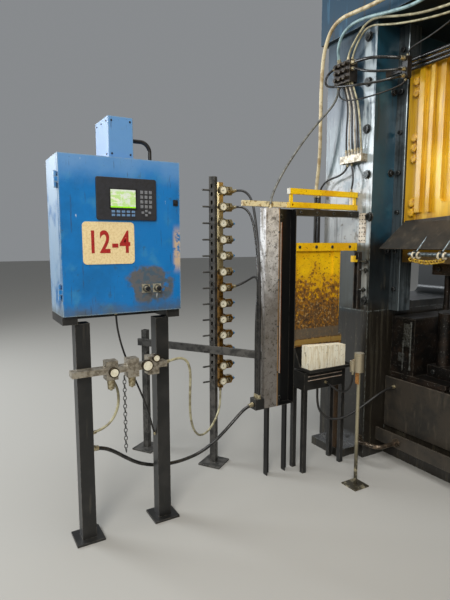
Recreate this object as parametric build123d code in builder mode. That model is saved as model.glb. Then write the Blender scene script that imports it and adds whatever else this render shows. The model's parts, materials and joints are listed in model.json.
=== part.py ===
"""Straight-side mechanical press of the 300-ton class with its guards and controls.

X runs to the right along the press front, Y to the rear and Z up, in millimetres.
The origin is on the floor at the centre of the four anchor bolts.
"""
import math
import os

from build123d import *

os.makedirs("parts", exist_ok=True)

# Press frame
opening_width = 2200.0
upright_width = 460.0
upright_depth = 1500.0
parting_height = 1060.0
crown_bottom = 2950.0
crown_height = 1400.0
crown_overhang = 40.0
bed_depth = 1080.0
bed_top = 440.0
pocket_depth = 40.0
pocket_inset = 150.0
pocket_margin = 225.0
upper_pocket = 760.0

# Feet and anchor holes
foot_length = 300.0
foot_reach = 150.0
foot_height = 60.0
anchor_hole = 42.0
anchor_inset = 70.0

# Tie rods
rod_diameter = 130.0
rod_clearance = 6.0
rod_y = 560.0
rod_foot = 60.0
rod_stub = 60.0
nut_across_corners = 250.0
nut_height = 130.0
washer_diameter = 270.0
washer_height = 30.0

# Feed window in each upright
window_width = 700.0
window_height = 700.0
window_sill = 50.0
window_radius = 60.0

# Bolster, its T-slots and the side risers
bolster_gap = 33.0
bolster_depth = 1067.0
bolster_thickness = 180.0
riser_width = 190.0
riser_height = 400.0
riser_chamfer = 6.0
slot_pitch = 305.0
slot_count = 5
slot_neck = 28.0
slot_neck_depth = 26.0
slot_foot = 48.0
slot_foot_depth = 22.0

# Slide, its ways and its stroke
gib_width = 84.0
gib_setback = 206.0
gib_thickness = 120.0
gib_chamfer = 3.0
slide_clearance = 6.0
slide_bottom = 1400.0
slide_height = 1320.0
slide_setback = 220.0
wing_gap = 25.0
stroke = 250.0
rib_depth = 28.0
outer_rib = 38.0
outer_rib_place = 118.0
inner_rib = 26.0
inner_rib_place = 196.0
rib_foot_gap = 330.0
panel_depth = 30.0
panel_margin = 120.0
boss_diameter = 320.0
boss_height = 60.0
plunger_diameter = 200.0
plunger_place = 450.0
plunger_length = 620.0
plunger_clearance = 0.4

# Slide skirt and knockout bar
skirt_top_height = 270.0
skirt_drop = 180.0
skirt_reach = 160.0
skirt_thickness = 8.0
skirt_peak = 40.0
skirt_edge = 10.0
skirt_inset = 14.0
skirt_flare = 72.0
knockout_diameter = 28.0
knockout_half = 790.0
knockout_lift = 62.0
knockout_reach = 200.0
ring_thickness = 10.0
arm_diameter = 14.0
arm_places = [-751.0, -571.0, 571.0, 751.0]

# Dies
shoe_gap = 27.0
shoe_depth = 840.0
shoe_thickness = 80.0
punch_width = 1400.0
punch_depth = 600.0
die_block_height = 250.0
shut_gap = 6.0
post_diameter = 40.0
post_inset = 70.0
post_length = 235.0
post_clearance = 5.0
column_diameter = 92.0
column_height = 360.0
column_socket = 260.0

# Cover plate and oil ledge on the bed front
plate_top = 580.0
plate_thickness = 12.0
cover_gap = 8.0
cover_chamfer = 3.0
ledge_bottom = 120.0
ledge_top = 215.0
ledge_reach = 95.0
ledge_web = 10.0

# Drive on the crown
drum_diameter = 1400.0
drum_depth = 330.0
drum_x = 450.0
drum_height = 3700.0
pulley_cover_diameter = 420.0
motor_x = -900.0
motor_diameter = 420.0
motor_length = 560.0
motor_base_width = 460.0
motor_foot_width = 250.0
motor_foot_length = 390.0
motor_base = 60.0
motor_lift = 250.0
motor_gap = 110.0
motor_shaft = 60.0
tank_diameter = 500.0
tank_length = 1500.0
tank_x = 250.0
tank_y = -330.0
tank_end_radius = 100.0
saddle_width = 60.0
saddle_height = 60.0
saddle_depth = 400.0
saddle_rise = 150.0
saddle_pitch = 1000.0
crown_panel_count = 3
crown_panel_width = 880.0
crown_panel_height = 900.0
crown_panel_depth = 60.0
trunnion_diameter = 160.0
trunnion_length = 110.0
trunnion_y = 480.0

# Side guard and light curtain, left side; the right side is its mirror image
guard_inset = 142.0
guard_front = 1295.0
bar_thickness = 30.0
bar_height = 36.0
bar_gap = 8.0
bar_spacing = 50.0
bar_reach = 43.0
link_size = 18.0
arm_reach = 375.0
arm_root = 38.0
arm_section = 24.0
arm_height = 34.0
pivot_diameter = 16.0
header_bottom = 1706.0
header_height = 42.0
header_width = 60.0
rail_bottom = 1478.0
rail_height = 54.0
rail_width = 46.0
panel_bottom = 840.0
panel_rear = 897.0
panel_thickness = 6.0
stile_width = 60.0
front_stile_width = 20.0
stile_depth = 30.0
curtain_bottom = 470.0
curtain_depth = 60.0
channel_width = 131.0
channel_wall = 4.0
emitter_width = 34.0
emitter_depth = 30.0
emitter_clearance = 2.0
lens_width = 14.0
lens_depth = 3.0
sheet_width = 108.0
leg_size = 40.0
leg_wall = 5.0

# Parts chute and pedestal below the left guard panel
chute_length = 370.0
chute_reach = 170.0
chute_lip = 20.0
chute_gusset = 60.0
chute_bottom = 700.0
chute_wall = 4.0
block_length = 160.0
block_width = 70.0
block_height = 160.0
block_gap = 1.0
block_tilt = -3.0
pedestal_length = 360.0
pedestal_height = 120.0
pedestal_depth = 140.0
pedestal_neck = 12.0
neck_depth = 100.0
neck_length = 250.0
slot_pitch_z = 27.0
slot_drop = 40.0
slot_length = 300.0
slot_height = 9.0
slot_depth = 12.0
pedestal_leg = 30.0

# Hose fittings on the left upright front
manifold_block_length = 200.0
manifold_block_height = 50.0
manifold_block_depth = 60.0
manifold_inset = 150.0
manifold_lift = 200.0
fitting_count = 6
fitting_pitch = 28.0
fitting_diameter = 18.0
fitting_length = 26.0
cluster_inset = 245.0
cluster_z = 2620.0
cluster_width = 150.0
cluster_height = 140.0
cluster_depth = 70.0
union_diameter = 26.0
union_length = 30.0
union_pitch = 44.0

# Brackets on the left upright: clamp rail, riveted plate and hose bracket
clamp_inset = 90.0
clamp_width = 44.0
clamp_depth = 34.0
clamp_wall = 6.0
clamp_bottom = 1070.0
clamp_head = 70.0
hook_reach = 70.0
hook_height = 16.0
hook_lip = 44.0
rivet_plate_width = 62.0
rivet_plate_thickness = 4.0
rivet_plate_gap = 14.0
hose_end_reach = 140.0
hose_end_standoff = 120.0
hose_end_width = 40.0
hose_end_bottom = 2570.0
hose_end_height = 130.0
hose_arm_height = 36.0
hose_arm_thickness = 20.0

# Pipes on the outer corner of the left upright and the drain of the oil ledge
pipe_diameter = 26.0
pipe_outset = 30.0
pipe_pitch = 36.0
pipe_standoff = 50.0
pipe_top = 1870.0
pipe_block_bottom = 560.0
pipe_block_height = 80.0
pipe_block_width = 110.0
pipe_block_depth = 60.0
pipe_clip_places = [1250.0, 1800.0]
pipe_clip_height = 24.0
drain_diameter = 30.0
drain_flange = 64.0
drain_flange_thickness = 10.0
drain_z = 160.0
drain_fall = 30.0
drain_column_outset = 30.0
drain_ledge_reach = 195.0
drain_reach = 55.0
drain_radius = 42.0

# Service standpipe with a regulator in front of the bed
standpipe_reach = 258.0
standpipe_y = -1081.0
standpipe_height = 740.0
standpipe_diameter = 22.0
standpipe_foot = 120.0
standpipe_foot_thickness = 8.0
regulator_diameter = 58.0
regulator_height = 120.0
regulator_arm = 50.0
bowl_diameter = 40.0
bowl_height = 70.0

# Terminal boxes where the hoses end
crown_box_width = 200.0
crown_box_height = 160.0
crown_box_depth = 90.0
crown_box_lift = 50.0
floor_box_width = 66.0
floor_box_height = 70.0
floor_box_depth = 66.0

# Hoses: diameters, and routes chosen by hand from exit to exit
drop_hose = 12.0
drop_route = [
    (-1250.0, 28.0, -780.0, 2154.0),
    (-1247.0, 27.0, -792.0, 2265.0),
    (-1240.0, 23.0, -802.0, 2355.0),
    (-1244.0, 19.0, -804.0, 2445.0),
    (-1276.0, 17.0, -796.0, 2530.0),
    (-1325.0, 16.0, -782.0, 2620.0),
]
harness_hose = 24.0
harness_pitch = 28.0
harness_drop = 44.0
crown_routes = [
    (26.0, [
        (-100.0, -850.0, 3120.0), (-200.0, -855.0, 3118.0), (-330.0, -865.0, 3100.0),
        (-480.0, -875.0, 3060.0), (-640.0, -880.0, 3018.0), (-820.0, -880.0, 2992.0),
        (-1020.0, -880.0, 2989.0), (-1190.0, -880.0, 3005.0), (-1310.0, -880.0, 3012.0),
        (-1395.0, -880.0, 2975.0), (-1450.0, -878.0, 2890.0), (-1483.0, -872.0, 2790.0),
        (-1505.0, -862.0, 2620.0), (-1518.0, -850.0, 2400.0), (-1532.0, -836.0, 2230.0),
        (-1560.0, -820.0, 2090.0), (-1592.0, -806.0, 1985.0), (-1606.0, -801.0, 1920.0),
        (-1608.0, -800.0, 1870.0),
    ]),
    (20.0, [
        (-100.0, -825.0, 3040.0), (-190.0, -830.0, 3034.0), (-310.0, -840.0, 3000.0),
        (-450.0, -848.0, 2940.0), (-600.0, -850.0, 2893.0), (-760.0, -850.0, 2885.0),
        (-930.0, -850.0, 2915.0), (-1080.0, -850.0, 2948.0), (-1210.0, -850.0, 2962.0),
        (-1310.0, -848.0, 2935.0), (-1368.0, -838.0, 2870.0), (-1386.0, -820.0, 2810.0),
        (-1388.0, -800.0, 2760.0),
    ]),
    (14.0, [
        (-60.0, -830.0, 3000.0), (-64.0, -828.0, 2940.0), (-95.0, -826.0, 2880.0),
        (-165.0, -825.0, 2830.0), (-270.0, -825.0, 2802.0), (-400.0, -825.0, 2795.0),
        (-540.0, -825.0, 2808.0), (-690.0, -825.0, 2828.0), (-840.0, -825.0, 2868.0),
        (-960.0, -825.0, 2908.0), (-1055.0, -825.0, 2938.0), (-1130.0, -825.0, 2932.0),
        (-1190.0, -824.0, 2890.0), (-1244.0, -818.0, 2848.0), (-1284.0, -811.0, 2812.0),
        (-1300.0, -806.0, 2785.0), (-1302.0, -805.0, 2760.0),
    ]),
    (12.0, [
        (40.0, -812.0, 3000.0), (38.0, -811.0, 2940.0), (15.0, -810.0, 2880.0),
        (-45.0, -809.0, 2825.0), (-140.0, -808.0, 2785.0), (-260.0, -808.0, 2765.0),
        (-400.0, -808.0, 2762.0), (-540.0, -808.0, 2775.0), (-700.0, -808.0, 2800.0),
        (-850.0, -808.0, 2834.0), (-980.0, -808.0, 2872.0), (-1080.0, -808.0, 2908.0),
        (-1150.0, -808.0, 2908.0), (-1200.0, -806.0, 2868.0), (-1240.0, -800.0, 2826.0),
        (-1264.0, -794.0, 2798.0), (-1276.0, -791.0, 2776.0), (-1278.0, -790.0, 2760.0),
    ]),
    (10.0, [
        (-940.0, -650.0, 2700.0), (-934.0, -652.0, 2722.0), (-908.0, -658.0, 2742.0),
        (-850.0, -668.0, 2748.0), (-760.0, -680.0, 2754.0), (-650.0, -690.0, 2774.0),
        (-540.0, -697.0, 2812.0), (-450.0, -700.0, 2856.0), (-395.0, -701.0, 2905.0),
        (-380.0, -700.0, 2950.0),
    ]),
    (16.0, [
        (-1400.0, -790.0, 2620.0), (-1402.0, -796.0, 2570.0), (-1398.0, -822.0, 2515.0),
        (-1388.0, -880.0, 2450.0), (-1370.0, -970.0, 2375.0), (-1348.0, -1080.0, 2275.0),
        (-1322.0, -1195.0, 2160.0), (-1296.0, -1305.0, 2040.0), (-1272.0, -1395.0, 1930.0),
        (-1254.0, -1455.0, 1840.0), (-1243.0, -1478.0, 1790.0), (-1242.0, -1480.0, 1748.0),
    ]),
]
front_routes = [
    (20.0, [
        (-1270.0, -800.0, 2738.0), (-1195.0, -803.0, 2733.0), (-1110.0, -797.0, 2722.0),
        (-1040.0, -775.0, 2708.0), (-985.0, -735.0, 2697.0), (-952.0, -700.0, 2690.0),
        (-942.0, -670.0, 2687.0),
    ]),
    (16.0, [
        (-1270.0, -800.0, 2700.0), (-1225.0, -804.0, 2688.0), (-1160.0, -808.0, 2655.0),
        (-1092.0, -800.0, 2632.0), (-1030.0, -778.0, 2620.0), (-978.0, -742.0, 2617.0),
        (-947.0, -706.0, 2619.0), (-938.0, -670.0, 2622.0),
    ]),
    (16.0, [
        (-1420.0, -800.0, 2742.0), (-1455.0, -806.0, 2740.0), (-1488.0, -820.0, 2716.0),
        (-1494.0, -836.0, 2672.0), (-1466.0, -848.0, 2632.0), (-1404.0, -856.0, 2606.0),
        (-1312.0, -858.0, 2586.0), (-1212.0, -850.0, 2568.0), (-1118.0, -832.0, 2556.0),
        (-1040.0, -800.0, 2553.0), (-983.0, -758.0, 2562.0), (-953.0, -714.0, 2573.0),
        (-941.0, -670.0, 2585.0),
    ]),
    (10.0, [
        (-1381.0, -805.0, 2620.0), (-1381.0, -808.0, 2585.0), (-1368.0, -816.0, 2545.0),
        (-1330.0, -825.0, 2510.0), (-1265.0, -830.0, 2487.0), (-1190.0, -828.0, 2475.0),
        (-1110.0, -812.0, 2475.0), (-1045.0, -770.0, 2488.0), (-1005.0, -722.0, 2508.0),
        (-970.0, -682.0, 2528.0), (-950.0, -662.0, 2546.0), (-944.0, -652.0, 2570.0),
    ]),
    (14.0, [
        (-1300.0, -780.0, 2078.0), (-1302.0, -788.0, 2050.0), (-1320.0, -797.0, 2022.0),
        (-1362.0, -803.0, 2002.0), (-1425.0, -806.0, 1992.0), (-1490.0, -806.0, 1978.0),
        (-1540.0, -804.0, 1945.0), (-1566.0, -801.0, 1905.0), (-1572.0, -800.0, 1870.0),
    ]),
    (12.0, [
        (-1262.0, -780.0, 2078.0), (-1258.0, -786.0, 2052.0), (-1240.0, -794.0, 2020.0),
        (-1228.0, -800.0, 1980.0), (-1228.0, -802.0, 1940.0), (-1238.0, -801.0, 1905.0),
        (-1242.0, -800.0, 1878.0),
    ]),
    (16.0, [
        (-1010.0, -552.0, 520.0), (-1010.0, -605.0, 517.0), (-1014.0, -675.0, 498.0),
        (-1026.0, -750.0, 460.0), (-1050.0, -820.0, 410.0), (-1078.0, -885.0, 365.0),
        (-1096.0, -950.0, 338.0), (-1122.0, -1010.0, 328.0), (-1158.0, -1058.0, 342.0),
        (-1188.0, -1086.0, 382.0), (-1200.0, -1096.0, 438.0), (-1201.0, -1099.0, 505.0),
        (-1199.0, -1100.0, 568.0),
    ]),
    (12.0, [
        (-892.0, -1081.0, 730.0), (-893.0, -1082.0, 690.0), (-903.0, -1083.0, 644.0),
        (-926.0, -1085.0, 602.0), (-966.0, -1088.0, 578.0), (-1014.0, -1090.0, 574.0),
        (-1060.0, -1092.0, 586.0), (-1098.0, -1094.0, 602.0), (-1129.0, -1095.0, 606.0),
    ]),
]
stand_routes = [
    (14.0, [
        (-1150.0, -2654.0, 885.0), (-1150.0, -2606.0, 880.0), (-1150.0, -2556.0, 852.0),
        (-1150.0, -2520.0, 800.0), (-1150.0, -2506.0, 735.0), (-1150.0, -2513.0, 668.0),
        (-1150.0, -2545.0, 608.0), (-1150.0, -2597.0, 570.0), (-1150.0, -2654.0, 560.0),
    ]),
    (20.0, [
        (-1150.0, -2654.0, 478.0), (-1152.0, -2600.0, 470.0), (-1160.0, -2540.0, 435.0),
        (-1175.0, -2475.0, 380.0), (-1195.0, -2395.0, 318.0), (-1212.0, -2300.0, 275.0),
        (-1225.0, -2200.0, 252.0), (-1235.0, -2090.0, 248.0), (-1242.0, -1980.0, 265.0),
        (-1246.0, -1880.0, 310.0), (-1248.0, -1790.0, 375.0), (-1246.0, -1715.0, 440.0),
        (-1243.0, -1655.0, 490.0), (-1242.0, -1600.0, 503.0),
    ]),
    (14.0, [
        (-1084.0, -2270.0, 900.0), (-1086.0, -2225.0, 908.0), (-1092.0, -2172.0, 912.0),
        (-1102.0, -2128.0, 885.0), (-1115.0, -2105.0, 825.0), (-1130.0, -2098.0, 750.0),
        (-1150.0, -2092.0, 660.0), (-1180.0, -2078.0, 560.0), (-1225.0, -2045.0, 460.0),
        (-1285.0, -1990.0, 375.0), (-1355.0, -1920.0, 318.0), (-1425.0, -1835.0, 300.0),
        (-1490.0, -1750.0, 325.0), (-1528.0, -1690.0, 385.0), (-1556.0, -1662.0, 458.0),
        (-1569.0, -1655.0, 536.0),
    ]),
    (10.0, [
        (-1150.0, -2510.0, 1183.0), (-1150.0, -2508.0, 1130.0), (-1150.0, -2500.0, 1070.0),
        (-1150.0, -2484.0, 1000.0), (-1150.0, -2460.0, 925.0), (-1150.0, -2430.0, 845.0),
        (-1150.0, -2397.0, 765.0), (-1150.0, -2368.0, 690.0), (-1150.0, -2345.0, 622.0),
        (-1150.0, -2330.0, 562.0), (-1150.0, -2319.0, 515.0), (-1150.0, -2306.0, 482.0),
    ]),
    (16.0, [
        (-1569.6, -1560.0, 1874.0), (-1564.0, -1520.0, 1884.0), (-1535.0, -1488.0, 1878.0),
        (-1490.0, -1475.0, 1845.0), (-1435.0, -1485.0, 1790.0), (-1380.0, -1505.0, 1715.0),
        (-1325.0, -1528.0, 1625.0), (-1275.0, -1548.0, 1520.0), (-1240.0, -1562.0, 1405.0),
        (-1224.0, -1567.0, 1270.0), (-1220.0, -1568.0, 1100.0), (-1223.0, -1566.0, 960.0),
        (-1220.0, -1568.0, 820.0), (-1223.0, -1566.0, 680.0), (-1222.0, -1567.0, 540.0),
    ]),
    (16.0, [
        (-1569.6, -1560.0, 1767.0), (-1564.0, -1520.0, 1776.0), (-1535.0, -1488.0, 1768.0),
        (-1488.0, -1476.0, 1732.0), (-1430.0, -1486.0, 1672.0), (-1372.0, -1506.0, 1592.0),
        (-1318.0, -1530.0, 1495.0), (-1274.0, -1550.0, 1385.0), (-1251.0, -1563.0, 1270.0),
        (-1243.0, -1567.0, 1140.0), (-1245.0, -1568.0, 985.0), (-1241.0, -1566.0, 830.0),
        (-1243.0, -1568.0, 680.0), (-1242.0, -1567.0, 540.0),
    ]),
    (16.0, [
        (-1569.6, -1560.0, 1232.0), (-1564.0, -1520.0, 1240.0), (-1540.0, -1482.0, 1262.0),
        (-1500.0, -1462.0, 1288.0), (-1450.0, -1460.0, 1306.0), (-1394.0, -1476.0, 1302.0),
        (-1342.0, -1500.0, 1272.0), (-1300.0, -1530.0, 1218.0), (-1276.0, -1552.0, 1145.0),
        (-1265.0, -1564.0, 1050.0), (-1262.0, -1568.0, 930.0), (-1265.0, -1566.0, 800.0),
        (-1261.0, -1568.0, 670.0), (-1262.0, -1567.0, 540.0),
    ]),
]

# Fence rail and valve stand to the left of the press
fence_start_outset = 160.0
fence_start_y = -1500.0
fence_angle = 213.9
fence_length = 975.0
valve_post_place = 373.0
rear_post_place = 935.0
post_size = 41.0
post_wall = 3.0
post_slot_height = 28.0
post_slot_width = 16.0
fence_rail_height = 50.0
fence_rail_thickness = 20.0
fence_rail_z = 790.0
valve_post_height = 1950.0
foot_plate = 160.0
foot_plate_thickness = 12.0
valve_count = 13
valve_pitch = 107.0
valve_first = 590.0
valve_bar = 30.0
valve_bar_gap = 12.0
stub_diameter = 12.0
stub_length = 60.0
valve_body = 64.0
valve_body_depth = 66.0
valve_cap_diameter = 34.0
valve_cap_length = 14.0
gauge_diameter = 56.0
gauge_depth = 30.0

# Control cabinet on its stand
cabinet_face_x = -1073.0
cabinet_y = -2482.0
cabinet_width = 610.0
cabinet_height = 762.0
cabinet_depth = 250.0
cabinet_bottom = 1183.0
cabinet_wall = 3.0
cabinet_lip = 16.0
mounting_margin = 48.0
door_thickness = 20.0
door_gap = 5.0
door_skin = 3.0
door_margin = 1.0
hinge_offset = 11.0
hinge_radius = 7.0
hinge_pin = 3.0
hinge_pin_clearance = 0.1
hinge_knuckle = 24.0
hinge_slot = 1.0
hinge_inset = 120.0
display_width = 304.0
display_height = 203.0
display_depth = 10.0
display_y = -2464.0
display_z = 1746.5
display_body_inset = 14.0
display_body_depth = 45.0
number_plate_width = 256.0
number_plate_height = 204.0
number_plate_thickness = 3.0
number_plate_radius = 20.0
number_plate_y = -2558.0
number_plate_z = 1533.0
switch_size = 44.0
switch_plate = 3.0
switch_knob = 26.0
switch_knob_depth = 24.0
switch_z = 1303.0
switch_places = [-2373.0, -2313.0]
box_width = 125.0
box_depth = 220.0
box_height = 196.0
box_y = -2477.0
conduit_diameter = 21.0
conduit_lift = 110.0
conduit_reach = 127.0
conduit_radius = 50.0
stand_post = 72.0
stand_post_x = -1150.0
stand_post_places = [-2690.0, -2270.0]
stand_frame_height = 43.0
air_prep_z = 900.0
air_prep_block = 60.0
air_prep_height = 96.0
air_prep_pitch = 110.0
air_prep_inset = 75.0

# Derived places
column_x = (opening_width + upright_width) / 2
front_y = -upright_depth / 2
bed_front = -bed_depth / 2
crown_top = crown_bottom + crown_height
crown_width = opening_width + 2 * upright_width + 2 * crown_overhang
crown_depth = upright_depth + 2 * crown_overhang
crown_rear = crown_depth / 2
anchor_y = foot_reach - front_y - anchor_inset
bolster_top = bed_top + bolster_thickness
upright_height = crown_bottom - parting_height
gib_y = front_y + gib_setback
slide_half = opening_width / 2 - gib_width - slide_clearance
slide_front = front_y + slide_setback
slide_top = slide_bottom + slide_height
wing_front = gib_y + gib_thickness + slide_clearance
rod_places = [(sx * column_x, sy * rod_y) for sx in (-1, 1) for sy in (-1, 1)]
header_top = header_bottom + header_height
lower_bar = header_top + bar_gap
upper_bar = lower_bar + bar_spacing + bar_height
bar_front = guard_front + bar_reach
manifold_block_z = upper_bar + bar_height + manifold_lift
opening_side = -opening_width / 2
bolster_width = opening_width - 2 * bolster_gap
guard_x = guard_inset - opening_side
shoe_width = bolster_width - 2 * (riser_width + shoe_gap)
fence_start_x = opening_side - fence_start_outset
drain_column_x = opening_side - drain_column_outset
standpipe_x = opening_side + standpipe_reach
drain_ledge_x = opening_side + drain_ledge_reach
manifold_block_x = opening_side - manifold_inset
cluster_x = opening_side - cluster_inset
clamp_x = opening_side - clamp_inset
hose_end_x = opening_side + hose_end_reach
hose_end_y = slide_front - hose_end_standoff
pipe_x = opening_side - upright_width - pipe_outset
pipe_y = front_y - pipe_standoff


def save(piece, name):
    """Label the piece and write its own file."""
    piece.part.label = name
    export_step(piece.part, f"parts/{name}.step")


def save_mirrored(piece, name):
    """Write the right-hand twin of a left-hand piece."""
    with BuildPart() as twin:
        mirror(piece.part, about=Plane.YZ)
    save(twin, name)


def hose(route, diameter):
    """One round hose along straight runs joined by tangent arcs as large as the runs allow."""
    points = [Vector(*point) for point in route]
    radii = []
    for before, here, after in zip(points, points[1:], points[2:]):
        turn = math.radians((here - before).get_angle(after - here))
        shorter = min((here - before).length, (after - here).length)
        radii.append(0.45 * shorter / math.tan(turn / 2))
    with BuildPart() as tube:
        with BuildLine() as line:
            FilletPolyline(*points, radius=radii)
        with BuildSketch(Plane(origin=points[0], z_dir=points[1] - points[0])):
            Circle(diameter / 2)
        sweep()
    length = sum(edge.length for edge in line.edges())
    swept = tube.part.volume / (math.pi * diameter**2 / 4 * length)
    print(f"hose {diameter:.0f} mm, least radius {min(radii):.0f} mm, volume by length {swept:.4f}")
    return tube.part


# Bed: two end columns joined by a lower middle, with cast pockets and anchor feet
outer_pocket_width = upright_depth / 2 - pocket_margin
with BuildPart() as bed:
    with BuildSketch():
        with Locations((-column_x, 0), (column_x, 0)):
            Rectangle(upright_width, upright_depth)
    extrude(amount=parting_height)
    with BuildSketch():
        Rectangle(opening_width, bed_depth)
    extrude(amount=bed_top)
    with BuildSketch():
        with Locations((-column_x, 0), (column_x, 0)):
            Rectangle(foot_length, upright_depth + 2 * foot_reach)
    extrude(amount=foot_height)
    with BuildSketch():
        with GridLocations(2 * column_x, 2 * anchor_y, 2, 2):
            Circle(anchor_hole / 2)
    extrude(amount=foot_height, mode=Mode.SUBTRACT)
    with BuildSketch(Plane.XY.offset(rod_foot)):
        with Locations(*rod_places):
            Circle(rod_diameter / 2 + rod_clearance)
    extrude(amount=parting_height - rod_foot, mode=Mode.SUBTRACT)
    for side in (-1, 1):
        bed_end = Plane(
            origin=(side * (column_x + upright_width / 2), 0, parting_height / 2),
            x_dir=(0, side, 0),
            z_dir=(side, 0, 0),
        )
        with BuildSketch(bed_end):
            with GridLocations(outer_pocket_width + pocket_inset, 0, 2, 1):
                RectangleRounded(outer_pocket_width, parting_height - 2 * pocket_inset, pocket_depth)
        extrude(amount=-pocket_depth, mode=Mode.SUBTRACT)
save(bed, "bed")

# Bolster with T-slots that run front to rear
with BuildPart() as bolster:
    with BuildSketch(Plane.XY.offset(bed_top)):
        Rectangle(bolster_width, bolster_depth)
    extrude(amount=bolster_thickness)
    for slot in range(slot_count):
        slot_x = (slot - (slot_count - 1) / 2) * slot_pitch
        with BuildSketch(Plane.XZ):
            with Locations((slot_x, bolster_top)):
                Rectangle(slot_neck, slot_neck_depth, align=(Align.CENTER, Align.MAX))
            with Locations((slot_x, bolster_top - slot_neck_depth)):
                Rectangle(slot_foot, slot_foot_depth, align=(Align.CENTER, Align.MAX))
        extrude(amount=bolster_depth / 2, both=True, mode=Mode.SUBTRACT)
save(bolster, "bolster")

# Side risers stand on the bolster ends under the ways
with BuildPart() as left_riser:
    with BuildSketch(Plane.XY.offset(bolster_top)):
        with Locations(((riser_width - bolster_width) / 2, 0)):
            Rectangle(riser_width, bolster_depth)
    extrude(amount=riser_height)
    chamfer(left_riser.edges().group_by(Axis.Z)[-1], riser_chamfer)
save(left_riser, "left_riser")
save_mirrored(left_riser, "right_riser")

# Uprights: columns with a feed window and pockets in the outer face
window_centre = parting_height + window_sill + window_height / 2
with BuildPart() as left_upright:
    with BuildSketch(Plane.XY.offset(parting_height)):
        with Locations((-column_x, 0)):
            Rectangle(upright_width, upright_depth)
    extrude(amount=upright_height)
    with BuildSketch(Plane.YZ.offset(-column_x)):
        with Locations((0, window_centre)):
            RectangleRounded(window_width, window_height, window_radius)
    extrude(amount=upright_width / 2, both=True, mode=Mode.SUBTRACT)
    with BuildSketch(Plane.XY.offset(parting_height)):
        with Locations((-column_x, -rod_y), (-column_x, rod_y)):
            Circle(rod_diameter / 2 + rod_clearance)
    extrude(amount=upright_height, mode=Mode.SUBTRACT)
    upright_outside = Plane(
        origin=(-column_x - upright_width / 2, 0, crown_bottom - pocket_inset - upper_pocket / 2),
        x_dir=(0, -1, 0),
        z_dir=(-1, 0, 0),
    )
    with BuildSketch(upright_outside):
        with GridLocations(outer_pocket_width + pocket_inset, 0, 2, 1):
            RectangleRounded(outer_pocket_width, upper_pocket, pocket_depth)
    extrude(amount=-pocket_depth, mode=Mode.SUBTRACT)
save(left_upright, "left_upright")
save_mirrored(left_upright, "right_upright")

# Gibs: front and rear guide bars on the inner face of each upright
with BuildPart() as left_gibs:
    with BuildSketch(Plane.XY.offset(parting_height)):
        with Locations((-opening_width / 2, gib_y)):
            Rectangle(gib_width, gib_thickness, align=(Align.MIN, Align.MIN))
        mirror(about=Plane.XZ)
    extrude(amount=upright_height)
    outer_corners = left_gibs.edges().filter_by(Axis.Z).group_by(Axis.X)[-1]
    chamfer(outer_corners, gib_chamfer)
save(left_gibs, "left_gibs")
save_mirrored(left_gibs, "right_gibs")

# Crown with inspection panels, plunger bores and lifting trunnions
trunnion_z = crown_bottom + crown_height / 2
with BuildPart() as crown:
    with BuildSketch(Plane.XY.offset(crown_bottom)):
        Rectangle(crown_width, crown_depth)
    extrude(amount=crown_height)
    chamfer(crown.edges().filter_by(Axis.X).group_by(Axis.Z)[-1], crown_overhang)
    with BuildSketch(Plane.XY.offset(crown_bottom)):
        with Locations(*rod_places):
            Circle(rod_diameter / 2 + rod_clearance)
    extrude(amount=crown_height, mode=Mode.SUBTRACT)
    with BuildSketch(Plane.XY.offset(crown_bottom)):
        with Locations((-plunger_place, 0), (plunger_place, 0)):
            Circle(plunger_diameter / 2 + plunger_clearance)
    extrude(amount=plunger_length, mode=Mode.SUBTRACT)
    panel_pitch = crown_panel_width + pocket_inset
    with BuildSketch(Plane.XZ.offset(crown_rear)):
        with Locations((0, trunnion_z)):
            with GridLocations(panel_pitch, 0, crown_panel_count, 1):
                RectangleRounded(crown_panel_width, crown_panel_height, window_radius)
    extrude(amount=-crown_panel_depth, mode=Mode.SUBTRACT)
    for side in (-1, 1):
        crown_end = Plane(
            origin=(side * crown_width / 2, 0, trunnion_z), x_dir=(0, side, 0), z_dir=(side, 0, 0)
        )
        with BuildSketch(crown_end):
            with GridLocations(2 * trunnion_y, 0, 2, 1):
                Circle(trunnion_diameter / 2)
        extrude(amount=trunnion_length)
save(crown, "crown")

# Tie rods with washers and hexagon nuts on the crown
with BuildPart() as tie_rods:
    with BuildSketch(Plane.XY.offset(rod_foot)):
        with Locations(*rod_places):
            Circle(rod_diameter / 2)
    extrude(amount=crown_top + washer_height + nut_height + rod_stub - rod_foot)
    with BuildSketch(Plane.XY.offset(crown_top)):
        with Locations(*rod_places):
            Circle(washer_diameter / 2)
    extrude(amount=washer_height)
    with BuildSketch(Plane.XY.offset(crown_top + washer_height)):
        with Locations(*rod_places):
            RegularPolygon(nut_across_corners / 2, 6)
    extrude(amount=nut_height)
save(tie_rods, "tie_rods")

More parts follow.
